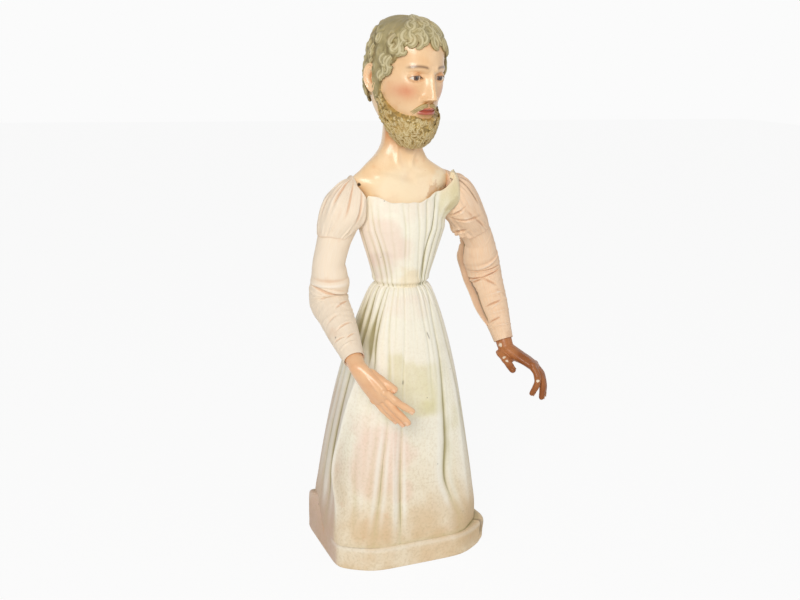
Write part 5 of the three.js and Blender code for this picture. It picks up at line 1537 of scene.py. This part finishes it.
def beard_edge(angle):
    """Height of the beard's upper edge at an angle from the front."""
    return curve_through(BEARD_EDGE, np.degrees(np.abs(angle)))[0]


def beard_patch():
    """The beard: rings from its tip to the sideburns, raised where it grows, sunk where it doesn't."""
    angle = full_turn(BEARD_COLUMNS)
    z = (-73 + 84 * np.linspace(0, 1, BEARD_ROWS) ** 1.15)[:, None]
    form, outward = beard_form(angle, z)
    draw = np.random.default_rng(51)
    seed_angle = draw.uniform(-2.2, 2.2, BEARD_CURLS)
    seed_z = draw.uniform(-73, 6, BEARD_CURLS)
    middles = beard_form(seed_angle, seed_z)[0]
    shift = np.array([0, -6, -30.0])
    curl, distance = curl_heights(form - shift, middles - shift, 3.3, 4.0)
    dome = np.maximum(1 - 0.5 * np.clip(distance, 0, 1.3) ** 2, 0.1)
    cover = smooth(beard_edge(angle) - z, -1.0, 3.0)
    rise = 2.0 * (0.2 + 0.8 * curl) * dome * cover - 6.0 * (1 - cover)
    points = form + outward * rise[..., None]
    # Painted highlight on the curls' crests and painted shade in their grooves
    crest = smooth(curl * dome, 0.55, 0.95) * 0.75
    valley = 0.75 * smooth(-curl * dome, -0.3, -0.04)
    return patch(on_head(points), crest=crest, valley=valley)

# %% Locks of the beard


def beard_place(angle, climb):
    """The beard's surface for locks, whose second coordinate is a height over the locks' radius."""
    points, outward = beard_form(angle, climb * LOCK_RADIUS)
    return points + outward * 0.9, outward


def beard_locks():
    """Small commas along the jaw and over the chin, pointing down and curling to either side."""
    draw = np.random.default_rng(61)
    count = BEARD_LOCKS
    angle = draw.uniform(-1.7, 1.7, count)
    z = lerp(beard_edge(angle) - 0.5, -69.0, draw.uniform(0, 1, count) ** 1.1)
    side = np.where(draw.uniform(size=count) < 0.5, -1.0, 1.0)
    return locks_on(
        beard_place, np.stack([angle, z / LOCK_RADIUS], -1), draw.uniform(5, 8, count),
        draw.uniform(1.5, 2.1, count), draw.uniform(1.1, 1.7, count),
        -np.pi / 2 + side * draw.uniform(0.2, 0.9, count),
        -side * draw.uniform(0.6, 1.6, count), -side * draw.uniform(1.5, 4.0, count))


def moustache_patch(side, row):
    """One strand of the moustache, from under the nose out and down past the corner of the mouth."""
    share = np.linspace(0, 1, 22)[:, None]
    turn_angle = full_turn(9, 0)
    x = 1.2 + (15.5 - row) * share
    z = NOSE_FOOT - 3.6 - 1.1 * row - 9.5 * share ** 1.8 + 0.9 * np.sin(np.pi * share)
    width, ahead = curve_through(SKULL_STATIONS, z)[:2]
    surface = np.sqrt(np.maximum(1 - (x / width) ** 2, 0)) * ahead + face_features(x, z)
    thick = (1.7 - 0.25 * row) * np.sin(np.pi * np.clip(0.1 + 0.88 * share, 0, 1)) ** 0.7
    y = -surface - 0.3 - thick * np.sin(turn_angle)
    points = stacked(side * x, y, z + thick * 0.9 * np.cos(turn_angle))
    lit = np.clip(np.sin(turn_angle), 0, 1) ** 2 * 0.5
    return patch(on_head(points), flip=side > 0, crest=lit, valley=0.35 + 0 * lit)


strands = [moustache_patch(side, row) for side in (-1, 1) for row in (0, 1, 2)]
beard_patches = [beard_patch()] + beard_locks() + strands
beard = add_piece("carved_beard", beard_patches, beard_finish)
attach(beard, "body")
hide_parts("head_and_bust")

# %% [markdown]
# ## The arms' frames
# Everything on an arm is placed by its three hinges. The upper arm runs from shoulder to elbow, the
# forearm from elbow to wrist, and the elbow's axis tells which side is the inside of the bend.

# %% Arm frames


class Arm:
    """The hinges of one arm and the directions along and across it."""

    def __init__(self, word, side):
        self.word, self.side = word, side
        self.shoulder, self.elbow, self.wrist = (
            np.array(joints[f"{word}_{hinge}"]["pos_m"]) for hinge in ("shoulder", "elbow", "wrist"))
        self.down = unit(self.elbow - self.shoulder)
        self.fore = unit(self.wrist - self.elbow)
        self.upper_length = np.linalg.norm(self.elbow - self.shoulder)
        level = np.array([1.0, 0, 0])
        self.across = unit(level - (level @ self.down) * self.down)
        self.ahead = np.cross(-self.down, self.across)
        self.bend_axis = unit(np.cross(self.down, self.fore))
        self.fore_across = -np.array(joints[f"{word}_elbow"]["axis"])
        self.fore_ahead = np.cross(-self.fore, self.fore_across)


arms = {word: Arm(word, side) for word, side in (("right", -1), ("left", 1))}
for arm in arms.values():
    print(arm.word, "upper arm", round(arm.upper_length / mm), "mm")

# %% [markdown]
# ## Puffed sleeves
# The short sleeve is gathered into the armhole, swells over the shoulder and is drawn in at a seam.
# It is a form of revolution round the upper arm whose profile is a list of stations, with folds that
# run down it. On the side of the body it is flattened against the armhole.

# %% Form of the puffed sleeves
ARMHOLE_X, ARMHOLE_SQUEEZE = 49.4 * mm, 3 * mm
# Step, distance down from the shoulder, radius, shift away from the body (mm)
PUFF_STATIONS = [
    (0, -26.0, 0.5, 0), (1, -24.4, 8.5, 0), (2, -19.5, 16.5, 0), (3, -10.5, 23.2, 0.4), (4, 0, 26.4, 0.8),
    (5, 12, 27.4, 1.4), (6, 24, 26.2, 3.0), (7, 35, 23.4, 5.6), (8, 42, 20.8, 7.6), (9, 46.5, 19.4, 8.6),
    (10, 48.0, 19.0, 8.8), (11, 48.4, 18.4, 8.8), (12, 47.4, 17.4, 8.8),
]
PUFF_DEPTH = 48.0
# Length of a radian on the form and on the cloth (mm)
PUFF_RADIAN, PUFF_CLOTH_RADIAN = 22, 24
PUFF_COLUMNS, PUFF_ROWS = 280, 130
# Degrees from the front towards the body, distance of the lower edge down from the shoulder (mm)
PUFF_EDGE = {
    "right": [
        (-180, 44), (-86, 44), (-39, 40.5), (0, 40.5), (16, 41), (37, 38), (62, 33), (90, 32), (140, 37),
        (180, 44),
    ],
    "left": [(-180, 55), (-90, 57), (-30, 56), (30, 53), (90, 48), (140, 50), (180, 55)],
}
# How far the puff climbs for each millimetre nearer to the neck, from the middle of the arm inwards
PUFF_CLIMB = {"right": 0.1, "left": 0.6}
# How far the armhole leans outwards for each millimetre above a height, and over what rise
ARMHOLE_LEAN = {"right": 0.8, "left": 0.0}
LEAN_FROM, LEAN_HEIGHT = 0.413, 12 * mm
# Distance down, share of the radius that the side towards the body keeps
PUFF_INSIDE = {
    "right": [(-26, 1.0), (60, 1.0)],
    "left": [(-26, 1.0), (0, 0.92), (12, 0.82), (24, 0.76), (35, 0.84), (42, 1.05), (48, 1.2), (60, 1.2)],
}
# Distance down, share of the radius that the outer side of the shoulder keeps
PUFF_SHOULDER = {
    "right": [(-26, 0.3), (-24.4, 0.3), (-19.5, 0.58), (-10.5, 0.75), (0, 0.93), (12, 1.0), (60, 1.0)],
    "left": [(-26, 1.0), (60, 1.0)],
}

# %% Folds of the puffed sleeves


def fold_ridges(around, along, table, turn_length):
    """Cloth folds, each (angle, distance along, slant, half length, half width, height): in its own
    turned frame a fold is exp(-(a / length)^2) (1 - 2 b^2) exp(-b^2), a ridge between two hollows.
    turn_length is the length of a radian."""
    total = 0
    for angle, distance, slant, length, width, height in table:
        sideways = ((around - angle + np.pi) % (2 * np.pi) - np.pi) * turn_length
        lengthways = along - distance
        a = sideways * math.cos(slant) + lengthways * math.sin(slant)
        b = (lengthways * math.cos(slant) - sideways * math.sin(slant)) / width
        total = total + height * mound(a, length) * (1 - 2 * b ** 2) * np.exp(-b ** 2)
    return total


def gathers(seed, count, distance, length, width, height):
    """Folds that run along the arm, side by side at uneven steps, for a gathered edge."""
    draw = np.random.default_rng(seed)
    return [
        (2 * np.pi * (i + draw.uniform(-0.3, 0.3)) / count, distance + draw.uniform(-2, 2), math.pi / 2,
         length * draw.uniform(0.6, 1.4), width * draw.uniform(0.7, 1.3), height * draw.uniform(0.5, 1.4))
        for i in range(count)
    ]


# Single folds of the puffs, as for fold_ridges
PUFF_FOLDS = {
    "right": [
        (-0.96, -4, math.pi / 2, 22, 2.4, -1.5), (-0.33, -2, math.pi / 2, 16, 2.0, -1.3),
        (0.19, 5, math.pi / 2, 18, 2.0, -1.3), (-1.5, 8, math.pi / 2, 20, 2.6, -1.0),
    ],
    "left": [
        (-0.22, 6, -0.25, 7, 1.6, -1.7), (-0.1, 19, 0.38, 14, 2.0, -1.5), (-1.0, 39.5, -0.45, 14, 2.2, -1.5),
        (0.35, 30, 1.3, 18, 2.4, -1.0), (1.3, 10, math.pi / 2, 22, 2.4, -1.2),
    ],
}
# Degrees and distance down of the open slit in a puff
PUFF_SLIT = {"right": None, "left": [(-19.5, 55), (-9, 47), (12, 44)]}

# %% Puffed sleeves


def puff_patch(arm, seed):
    """The puff: stations turned round the upper arm, gathers at both ends, and lifted towards the
    slope of the neck. What lies less than a squeeze outside the armhole is pressed flat against it,
    as an exponential of its distance. On the right the armhole leans out under the bust's edge."""
    step = np.linspace(0, 12, PUFF_ROWS)[:, None]
    down, radius, shift = curve_through(PUFF_STATIONS, step)
    angle = full_turn(PUFF_COLUMNS)
    edge = curve_through(PUFF_EDGE[arm.word], np.degrees(-arm.side * angle))[0]
    table = gathers(seed, 13, -14, 11, 2.4, 1.1) + gathers(seed + 1, 15, 40, 8, 2.2, 0.7)
    table += gathers(seed + 2, 7, 16, 18, 5.0, 0.8) + PUFF_FOLDS[arm.word]
    folds = fold_ridges(angle, down, table, PUFF_RADIAN)
    inner = smooth(-arm.side * np.sin(angle), 0.2, 0.8)
    ruffle = np.cos(19 * angle + 4 * ripples(angle, 0 * angle, seed + 3, 5, 5, 0.0)) * smooth(down, 34, 47)
    ruffle = ruffle * lerp(0.25, 1.1, inner)
    slit = 0 * folds
    if PUFF_SLIT[arm.word]:
        line = np.radians(curve_through(PUFF_SLIT[arm.word], down)[0])
        slit = mound((angle - line) * radius, 1.0) * between(down, -21, -17, 6, 14)
    outer = smooth(arm.side * np.sin(angle), -0.4, 0.5)
    radius = radius * lerp(1, curve_through(PUFF_SHOULDER[arm.word], down)[0], outer)
    radius = radius * lerp(1, curve_through(PUFF_INSIDE[arm.word], down)[0], inner)
    radius = radius + (folds + ruffle) * smooth(step, 0.3, 2.5) - 3.2 * slit
    wave = 1.2 * ripples(angle, 0 * angle, seed + 5, 6, 7, 0.0) * smooth(down, 30, 46)
    below = np.where(down > 0, down * edge / PUFF_DEPTH, down) + wave
    out = arm.side * shift + radius * np.sin(angle)
    ahead = -radius * np.cos(angle)
    points = out[..., None] * arm.across + ahead[..., None] * arm.ahead + below[..., None] * arm.down
    points = arm.shoulder + points * mm
    beside = arm.side * points[..., 0]
    inwards = np.maximum(arm.side * arm.shoulder[0] - beside, 0)
    points[..., 2] += PUFF_CLIMB[arm.word] * np.minimum(inwards, 12 * mm) * smooth(-down, -6, 10)
    armhole = ARMHOLE_X + ARMHOLE_LEAN[arm.word] * np.clip(points[..., 2] - LEAN_FROM, 0, LEAN_HEIGHT)
    short = (beside - armhole) / ARMHOLE_SQUEEZE - 1
    pressed = armhole + ARMHOLE_SQUEEZE * np.exp(np.minimum(short, 0))
    points[..., 0] = arm.side * np.where(short < 0, pressed, beside)
    uv = cloth_places(angle * PUFF_CLOTH_RADIAN * mm, (down - PUFF_STATIONS[0][1]) * mm)
    # Painted highlight on the fold crests, painted shade in the hollows and at the drawn-in seam, and painted
    # shade in the open slit
    crest = smooth(folds + ruffle * 0.5, 0.5, 1.8)
    valley = np.clip(smooth(-folds, 0.25, 1.0) + 0.5 * mound(down - 48.2, 1.0), 0, 1)
    return patch(points[::-1], uv[::-1], crest=crest[::-1], valley=valley[::-1], gap=0.9 * slit[::-1])


for arm, seed in ((arms["right"], 71), (arms["left"], 81)):
    name = f"puff_{arm.word}"
    puff = add_piece(name, [puff_patch(arm, seed)], cotton_finish[arm.word])
    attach(puff, f"{arm.word}_upper_arm")
    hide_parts(f"puff_sleeve_{arm.word}")

# %% [markdown]
# ## Long sleeves
# The long sleeve is a fitted tube of cotton over padding, one piece from the seam under the puff to
# the wrist, so it bends across the elbow. Its middle line runs down the upper arm, round the elbow
# as a curve whose corner is the hinge, and along the forearm. Creases gather inside the elbow and
# drag lines run from it.

# %% Line of the long sleeves
SLEEVE_START, SLEEVE_PAST_ELBOW = 24.0, 88.0
ELBOW_EASE = 14.0
SLEEVE_COLUMNS, SLEEVE_ROWS = 200, 280
# Distance from the shoulder, radius, shift away from the body (mm)
SLEEVE_STATIONS = [
    (24, 17.6, 2.0), (30, 17.9, 3.8), (38, 18.2, 6.4), (46, 18.4, 8.4), (56, 18.0, 9.0), (66, 17.8, 9.4),
    (74, 18.0, 9.2), (82, 19.4, 7.2), (88, 20.3, 5.6), (95, 21.2, 3.6), (104, 21.2, 2.8), (112, 20.8, 1.6),
    (120, 20.6, 0.6), (130, 20.0, 0), (146, 18.8, 0), (164, 17.2, 0), (182, 14.6, 0), (194, 12.8, 0),
    (206, 11.4, 0),
]


def sleeve_line(arm, distance):
    """Middle of the sleeve at distances from the shoulder (mm): straight, a parabola round the
    elbow with the hinge as its corner, straight again."""
    length = arm.upper_length / mm
    corner = arm.elbow / mm
    before = np.clip(distance, None, length - ELBOW_EASE)
    share = np.clip((distance - length + ELBOW_EASE) / (2 * ELBOW_EASE), 0, 1)
    after = np.maximum(distance - length - ELBOW_EASE, 0)
    start, end = corner - arm.down * ELBOW_EASE, corner + arm.fore * ELBOW_EASE
    share = share[:, None]
    curve = (1 - share) ** 2 * start + 2 * share * (1 - share) * corner + share ** 2 * end
    lead = (before - (length - ELBOW_EASE))[:, None] * arm.down
    shift = curve_through(SLEEVE_STATIONS, distance)[1][:, None] * arm.side * arm.across
    return curve + lead + after[:, None] * arm.fore + shift


# %% Folds of the long sleeves
# Single folds of the long sleeves, as for fold_ridges: angle from the inside of the elbow towards the
# bend's axis, distance from the shoulder, slant, half length, half width, height (mm)
SLEEVE_FOLDS = {
    "right": [
        (0.45, 92.5, -0.08, 24, 4.2, 1.8), (0.2, 103.5, -0.29, 26, 2.6, -2.0),
        (0.3, 117, -0.2, 18, 3.0, -0.9),
        (-0.05, 138.5, 0.62, 9, 1.8, -1.6), (-0.3, 150, 0.3, 14, 3.0, 0.7), (0.9, 155, 0.2, 12, 2.4, -0.7),
        (0.35, 168, 0.29, 9, 1.6, -1.4), (0.18, 182, 0.38, 7, 1.4, -1.3), (1.17, 181, -0.13, 9, 1.4, -1.2),
        (0.7, 191, 0.1, 14, 1.6, 0.7),
    ],
    "left": [
        (-0.5, 98, 0.1, 20, 3.0, 1.3), (-0.4, 109, -0.15, 20, 2.6, -1.4), (0.6, 124.5, -0.24, 11, 2.2, -1.9),
        (-0.52, 123, 0.42, 11, 2.2, -1.9), (0.38, 130, 0.0, 8, 2.0, -1.5), (-0.32, 135, -0.75, 8, 2.0, -1.5),
        (-0.5, 150, 0.05, 18, 2.4, 0.9), (-0.15, 161, 0.13, 9, 1.7, -1.6), (-0.2, 164.5, 0.3, 8, 1.5, 1.0),
        (-0.5, 172, 0.02, 20, 2.0, 0.9), (0.1, 180, 0.14, 9, 1.6, -1.5), (-0.4, 188, -0.05, 20, 1.8, 0.9),
    ],
}
# Distance from the shoulder, angle: the line of the seam that has come open on the left sleeve
OPEN_SEAM = {
    "right": None,
    "left": [(56, 1.3), (76, 1.41), (101, 1.54), (118, 1.43), (139, 0.95), (162, 0.96), (190, 0.87)],
}
SEAM_ALLOWANCE = 8.0
# Angle and distance of a small hole
PINHOLE = {"right": (1.29, 177), "left": None}
# Length of a radian (mm)
SLEEVE_RADIAN = 17
print("sleeve folds:", {word: len(folds) for word, folds in SLEEVE_FOLDS.items()})


def loose_creases(seed, count):
    """Small uneven creases, most of them round the inside of the elbow."""
    draw = np.random.default_rng(seed)
    return [
        (draw.normal(0, 1.3), draw.normal(122, 26), draw.normal(0.1, 0.35), draw.uniform(6, 15),
         draw.uniform(1.4, 2.8), draw.uniform(0.15, 0.5))
        for _ in range(count)
    ]

# %% Long sleeves


def sleeve_patches(arm, seed):
    """The sleeve: a radius over the angle and the distance, carried along the arm's middle line. Where
    its seam is open, the allowance stands off as a thin strip."""
    elbow = arm.upper_length / mm
    end = elbow + SLEEVE_PAST_ELBOW
    distance = np.linspace(SLEEVE_START, end, SLEEVE_ROWS)
    line = sleeve_line(arm, distance)
    ahead = unit(np.gradient(line, axis=0))
    inside = unit(np.cross(arm.bend_axis, ahead))
    beside = np.cross(ahead, inside)
    angle = full_turn(SLEEVE_COLUMNS)
    along = distance[:, None]
    smooth_radius = curve_through(SLEEVE_STATIONS, along)[0]
    table = SLEEVE_FOLDS[arm.word] + loose_creases(seed, 34)
    folds = fold_ridges(angle, along, table, SLEEVE_RADIAN)
    folds = folds * lerp(0.25, 1.0, between(along, 45, 60, end - 8, end))
    point_of_elbow = 4.0 * mound(along - elbow, 15) * smooth(-np.cos(angle), 0.0, 1.0)
    bowed = -1.6 * mound(along - elbow, 12) * smooth(np.cos(angle), 0.2, 1.0)
    seam = 0 * folds
    if OPEN_SEAM[arm.word]:
        seam_line = curve_through(OPEN_SEAM[arm.word], along)[0]
        seam = mound((angle - seam_line) * SLEEVE_RADIAN + 1.1, 1.9) * between(along, 58, 68, 174, 184)
    gap = 0.95 * seam
    if PINHOLE[arm.word]:
        at_angle, at_distance = PINHOLE[arm.word]
        gap = gap + 0.9 * mound(np.hypot((angle - at_angle) * SLEEVE_RADIAN, along - at_distance), 0.9)
    radius = smooth_radius + folds + point_of_elbow + bowed - 3.0 * seam
    section = inside[:, None] * np.cos(angle)[..., None] + beside[:, None] * np.sin(angle)[..., None]
    points = (line[:, None] + radius[..., None] * section) * mm
    tucked = (line[-1:, None] + (radius[-1:] * np.array([[0.97], [0.86]]))[..., None] * section[-1:]
              + np.array([0.6, -4.0])[:, None, None] * ahead[-1]) * mm
    uv = cloth_places(angle * SLEEVE_RADIAN * mm, along * mm)
    # Painted highlight on the fold crests, painted shade in the hollows, and painted shade in the open seam and
    # the pinhole
    crest = smooth(folds, 0.4, 1.6)
    valley = np.clip(smooth(-folds, 0.2, 1.0), 0, 1)
    rows = {"crest": crest, "valley": valley, "gap": np.clip(gap, 0, 1)}
    rows = {key: np.concatenate([value, 0 * value[-2:]]) for key, value in rows.items()}
    patches = [patch(np.concatenate([points, tucked]), np.concatenate([uv, uv[-2:]]), **rows)]
    if OPEN_SEAM[arm.word]:
        used = (distance > 60) & (distance < 184)
        strip = [each[used] for each in (line, inside, beside, seam_line, smooth_radius, along)]
        patches.append(seam_strip(*strip))
    return patches


def seam_strip(line, inside, beside, seam_line, radius, along):
    """The open seam's allowance: a thin flat oval whose width stands off the sleeve along the seam,
    leaning over, uneven in height and fading at both ends."""
    turn_angle = full_turn(16, 0)
    lengthways = (along - along[0]) / (along[-1] - along[0])
    uneven = 1 + 0.3 * ripples(6 * lengthways, 0 * lengthways, 111, 6, 4, 0.0)
    stand = SEAM_ALLOWANCE * np.sin(np.pi * np.clip(lengthways, 0.02, 0.98)) ** 0.35 * uneven
    across = seam_line + 1.4 / radius + 0 * turn_angle
    outward = inside[:, None] * np.cos(across)[..., None] + beside[:, None] * np.sin(across)[..., None]
    aside = beside[:, None] * np.cos(across)[..., None] - inside[:, None] * np.sin(across)[..., None]
    up = stand * (0.42 + 0.5 * np.cos(turn_angle))
    lean = 0.35 * up * smooth(up, 0.0, SEAM_ALLOWANCE) + 0.55 * np.sin(turn_angle)
    points = line[:, None] + (radius - 1.0 + up)[..., None] * outward + lean[..., None] * aside
    uv = cloth_places((up + 60) * mm, along * mm)
    # Paler along the allowance's top, darker below it
    strip_top = smooth(up / stand, 0.75, 0.95)
    return patch(points * mm, uv, flip=True, crest=0.8 * strip_top, valley=0.6 * (1 - strip_top), gap=0.0)


for arm, seed in ((arms["right"], 91), (arms["left"], 101)):
    name = f"long_sleeve_{arm.word}"
    sleeve = add_piece(name, sleeve_patches(arm, seed), cotton_finish[arm.word])
    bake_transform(sleeve)
    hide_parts(f"long_sleeve_upper_{arm.word}", f"long_sleeve_fore_{arm.word}")

# %% [markdown]
# ## Hands
# A carved hand has no seams between palm and fingers, and a single grid can't fork. So each part is
# a grid of its own, a palm, fingers that curl as their heading turns, pads and knuckles, and a
# voxel remesh turns the overlapping forms into one skin, which is then smoothed a little.

# %% Fingers
PALM_LENGTH, PALM_HALF = 42.0, np.array([14.2, 7.3])
FINGER_LENGTH, FINGER_RADIUS = 43.0, 4.2
THUMB_LENGTH, THUMB_RADIUS = 33.0, 4.8
KNUCKLES_DOWN = 0.92
# Place across the palm from the thumb's side, share of the longest, splay in degrees
FINGERS = [(0.4, 0.86, 7), (0.13, 1.0, 0), (-0.12, 0.96, -1), (-0.34, 0.8, -2)]
# Share of a finger's length, share of its radius: root, joints that swell, a round tip
FINGER_SHAPE = [
    (0, 1.06), (0.2, 0.98), (0.36, 1.06), (0.5, 0.95), (0.66, 0.99), (0.8, 0.9), (0.9, 0.82), (0.965, 0.6),
    (0.992, 0.3), (1.0, 0.02),
]
# Share of a finger's length, share of its whole curl that it has turned by then
FINGER_TURN = [(0, 0.2), (0.12, 0.3), (0.37, 0.62), (0.63, 1.0), (0.85, 1.15), (1, 1.15)]


def finger_frame(finger, share):
    """The middle line of a finger and its directions sideways and towards the palm (+Y). The heading
    starts at a tilt and turns by the curl; the line is the running sum of the heading."""
    bend = finger["tilt"] + finger["curl"] * curve_through(FINGER_TURN, share)[0]
    splay = finger["splay"]
    ahead = np.stack([np.sin(splay) * np.cos(bend), np.sin(bend), -np.cos(splay) * np.cos(bend)], -1)
    steps = np.diff(share, prepend=0)[:, None] * finger["length"]
    sideways = np.array([math.cos(splay), 0, math.sin(splay)])
    return finger["root"] + np.cumsum(ahead * steps, 0), sideways, np.cross(sideways, ahead)


def finger_patch(finger):
    """A nearly round section with swelling joints, carried along a finger's middle line."""
    share = np.linspace(0, 1, 46)
    spine, sideways, palmward = finger_frame(finger, share)
    thick = finger["radius"] * curve_through(FINGER_SHAPE, share)[0]
    turn_angle = full_turn(24, 0)[..., None]
    points = spine[:, None] + thick[:, None, None] * (
        np.cos(turn_angle) * sideways + 0.95 * np.sin(turn_angle) * palmward[:, None])
    return patch(np.concatenate([spine[:1, None] + 0 * points[:1], points])[::-1])


def nail_points(finger):
    """A fingernail: a curved plate, rounded at both ends, on the back of a finger's last stretch."""
    share = np.linspace(0, 1, 46)
    spine, sideways, palmward = finger_frame(finger, share)
    used = slice(37, 44)
    rounded = np.sin(np.pi * np.linspace(0.12, 0.88, 7)) ** 0.5
    spread = np.linspace(-0.85, 0.85, 9)[None, :] * rounded[:, None]
    plate = 0.9 * finger["radius"] * np.cos(spread)
    reach = 0.84 * finger["radius"] * np.sin(spread)
    return spine[used, None] + reach[..., None] * sideways - plate[..., None] * palmward[used, None]


# %% Palm, wrist and skin
WRIST_RADIUS, WRIST_SHOW = 9.9, 27.0
HAND_VOXEL = 0.75 * mm


def egg_patch(middle, half):
    """A closed egg: a unit ball scaled by three half sizes."""
    polar = np.linspace(0, np.pi, 19)[:, None]
    turn_angle = full_turn(24, 0)
    level = np.sin(polar)
    ball = stacked(level * np.cos(turn_angle), level * np.sin(turn_angle), np.cos(polar))
    return patch((ball * np.asarray(half) + np.asarray(middle))[::-1])


def closed_rows(points):
    """A grid whose first and last rows are drawn together into points, which closes the form."""
    ends = [row.mean(1, keepdims=True) + 0 * row for row in (points[:1], points[-1:])]
    return np.concatenate([ends[0], points, ends[1]])


def palm_patch():
    """The palm: ovals from the wrist to the knuckles, wider and thinner towards the fingers."""
    # Share of the palm's length, share of its half width, share of its half thickness
    stations = [
        (-0.12, 0.5, 1.1), (0, 0.68, 1.2), (0.2, 0.8, 1.16), (0.45, 0.94, 1.06), (0.7, 1.0, 0.95),
        (0.92, 0.99, 0.8), (1.04, 0.86, 0.55),
    ]
    share = np.linspace(-0.12, 1.04, 40)
    wide, thick = curve_through(stations, share)
    turn_angle = full_turn(48, 0)
    x = (PALM_HALF[0] * wide)[:, None] * np.cos(turn_angle)
    y = (PALM_HALF[1] * thick)[:, None] * np.sin(turn_angle)
    hollow = 1.6 * mound(share - 0.62, 0.25)[:, None] * smooth(np.sin(turn_angle), 0.4, 1.0)
    return patch(closed_rows(stacked(x, y - hollow, (-share * PALM_LENGTH)[:, None]))[::-1])


def wrist_patch():
    """The bare wrist in line with the forearm, a little oval, from inside the cuff to the hand."""
    # Distance towards the elbow from the wrist hinge, share of the radius
    stations = [(-8, 0.55), (-3, 0.86), (4, 0.95), (14, 1.0), (26, 1.06)]
    up = np.linspace(-8, WRIST_SHOW, 24)[:, None]
    thick = WRIST_RADIUS * curve_through(stations, up)[0]
    turn_angle = full_turn(40, 0)
    return closed_rows(stacked(thick * np.cos(turn_angle), 0.95 * thick * np.sin(turn_angle), up))


def skin_over(name, parts):
    """One skin over overlapping closed parts: a voxel remesh, then a light smoothing, applied."""
    rough = bpy.data.objects.new(name + "_parts", mesh_of(name + "_parts", parts, 1e-7))
    bpy.context.scene.collection.objects.link(rough)
    remesh = rough.modifiers.new("one_skin", "REMESH")
    remesh.mode, remesh.voxel_size = "VOXEL", HAND_VOXEL
    soften = rough.modifiers.new("soften", "SMOOTH")
    soften.factor, soften.iterations = 0.5, 5
    graph = bpy.context.evaluated_depsgraph_get()
    skin = bpy.data.meshes.new_from_object(rough.evaluated_get(graph))
    bpy.data.objects.remove(rough)
    skin.name = name
    skin.shade_smooth()
    return skin


# %% Hands
# How each hand is turned on its wrist and curled, in degrees; fingers from the thumb's side on; the
# thumb's root is a share of the palm's width, thickness and length
HANDS = {
    "right": {
        "twist": -98, "bend": 32.4, "lean": 22, "curls": (22, 10, 11, 15),
        "thumb": {"across": 0.26, "palmward": 0.3, "down": 0.32, "splay": 14, "tilt": 4, "curl": 8},
    },
    "left": {
        "twist": 81, "bend": -40.7, "lean": -8, "curls": (80, 59, 56, 53),
        "thumb": {"across": 0.2, "palmward": 0.5, "down": -0.06, "splay": 34, "tilt": 8, "curl": 6},
    },
}


def hand_fingers(thumb_side, hand):
    """Root, length, radius and angles of the four fingers and the thumb, in the hand's own frame."""
    fingers = []
    for (across, share, splay), curl in zip(FINGERS, hand["curls"]):
        fingers.append({
            "root": np.array([thumb_side * across * 2 * PALM_HALF[0], 0.3, -KNUCKLES_DOWN * PALM_LENGTH]),
            "length": FINGER_LENGTH * share, "radius": FINGER_RADIUS * (0.9 + 0.1 * share),
            "splay": math.radians(thumb_side * splay), "curl": math.radians(curl), "tilt": 0.0,
        })
    thumb = hand["thumb"]
    place = np.array([thumb_side * thumb["across"], thumb["palmward"], -thumb["down"]])
    return fingers + [{
        "root": place * np.array([*(2 * PALM_HALF), PALM_LENGTH]),
        "length": THUMB_LENGTH, "radius": THUMB_RADIUS,
        "splay": math.radians(thumb_side * thumb["splay"]), "curl": math.radians(thumb["curl"]),
        "tilt": math.radians(thumb["tilt"]),
    }]


def hand_parts(thumb_side, fingers):
    """Palm, fingers, thumb, pads, knuckles and tendons, in the hand's own frame: fingers along -Z,
    palm towards +Y."""
    parts = [palm_patch()] + [finger_patch(finger) for finger in fingers]
    for finger in fingers[:4]:
        parts.append(egg_patch(finger["root"] + np.array([0, -2.6, 1.5]), (3.6, 3.4, 4.6)))
        parts.append(egg_patch((finger["root"][0] * 0.72, -5.4, -0.55 * PALM_LENGTH), (1.5, 1.5, 12)))
    parts.append(egg_patch(fingers[4]["root"] + np.array([-thumb_side * 1.5, 0.8, -6]), (7.0, 5.2, 12)))
    parts.append(egg_patch((-thumb_side * 9, 2.4, -0.42 * PALM_LENGTH), (5.6, 5, 13)))
    return parts


def hand_axes(arm):
    """Axes of the wrist, and of the hand turned on it: twist, then bend, then lean."""
    hand = HANDS[arm.word]
    turns = (Matrix.Rotation(math.radians(hand["twist"]), 3, "Z")
             @ Matrix.Rotation(math.radians(hand["bend"]), 3, "X")
             @ Matrix.Rotation(math.radians(hand["lean"]), 3, "Y"))
    wrist_axes = np.stack([arm.fore_across, arm.fore_ahead, -arm.fore], 1)
    return wrist_axes, wrist_axes @ np.array(turns)


for arm in arms.values():
    wrist_axes, axes = hand_axes(arm)
    fingers = hand_fingers(-arm.side, HANDS[arm.word])
    parts = hand_parts(-arm.side, fingers)
    for part in parts:
        part["points"] = part["points"] @ axes.T * mm + arm.wrist
    parts.append(patch(wrist_patch() @ wrist_axes.T * mm + arm.wrist))
    skin = skin_over(f"hand_{arm.word}_skin", parts)
    hand = add_piece(f"carved_hand_{arm.word}", skin, hand_flesh[arm.word])
    plates = [patch(nail_points(finger) @ axes.T * mm + arm.wrist) for finger in fingers]
    name = f"nails_{arm.word}"
    nails = add_piece(name, plates, nail_paint[arm.word])
    for piece in (hand, nails):
        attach(piece, f"{arm.word}_hand")
        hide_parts(f"hand_{arm.word}")
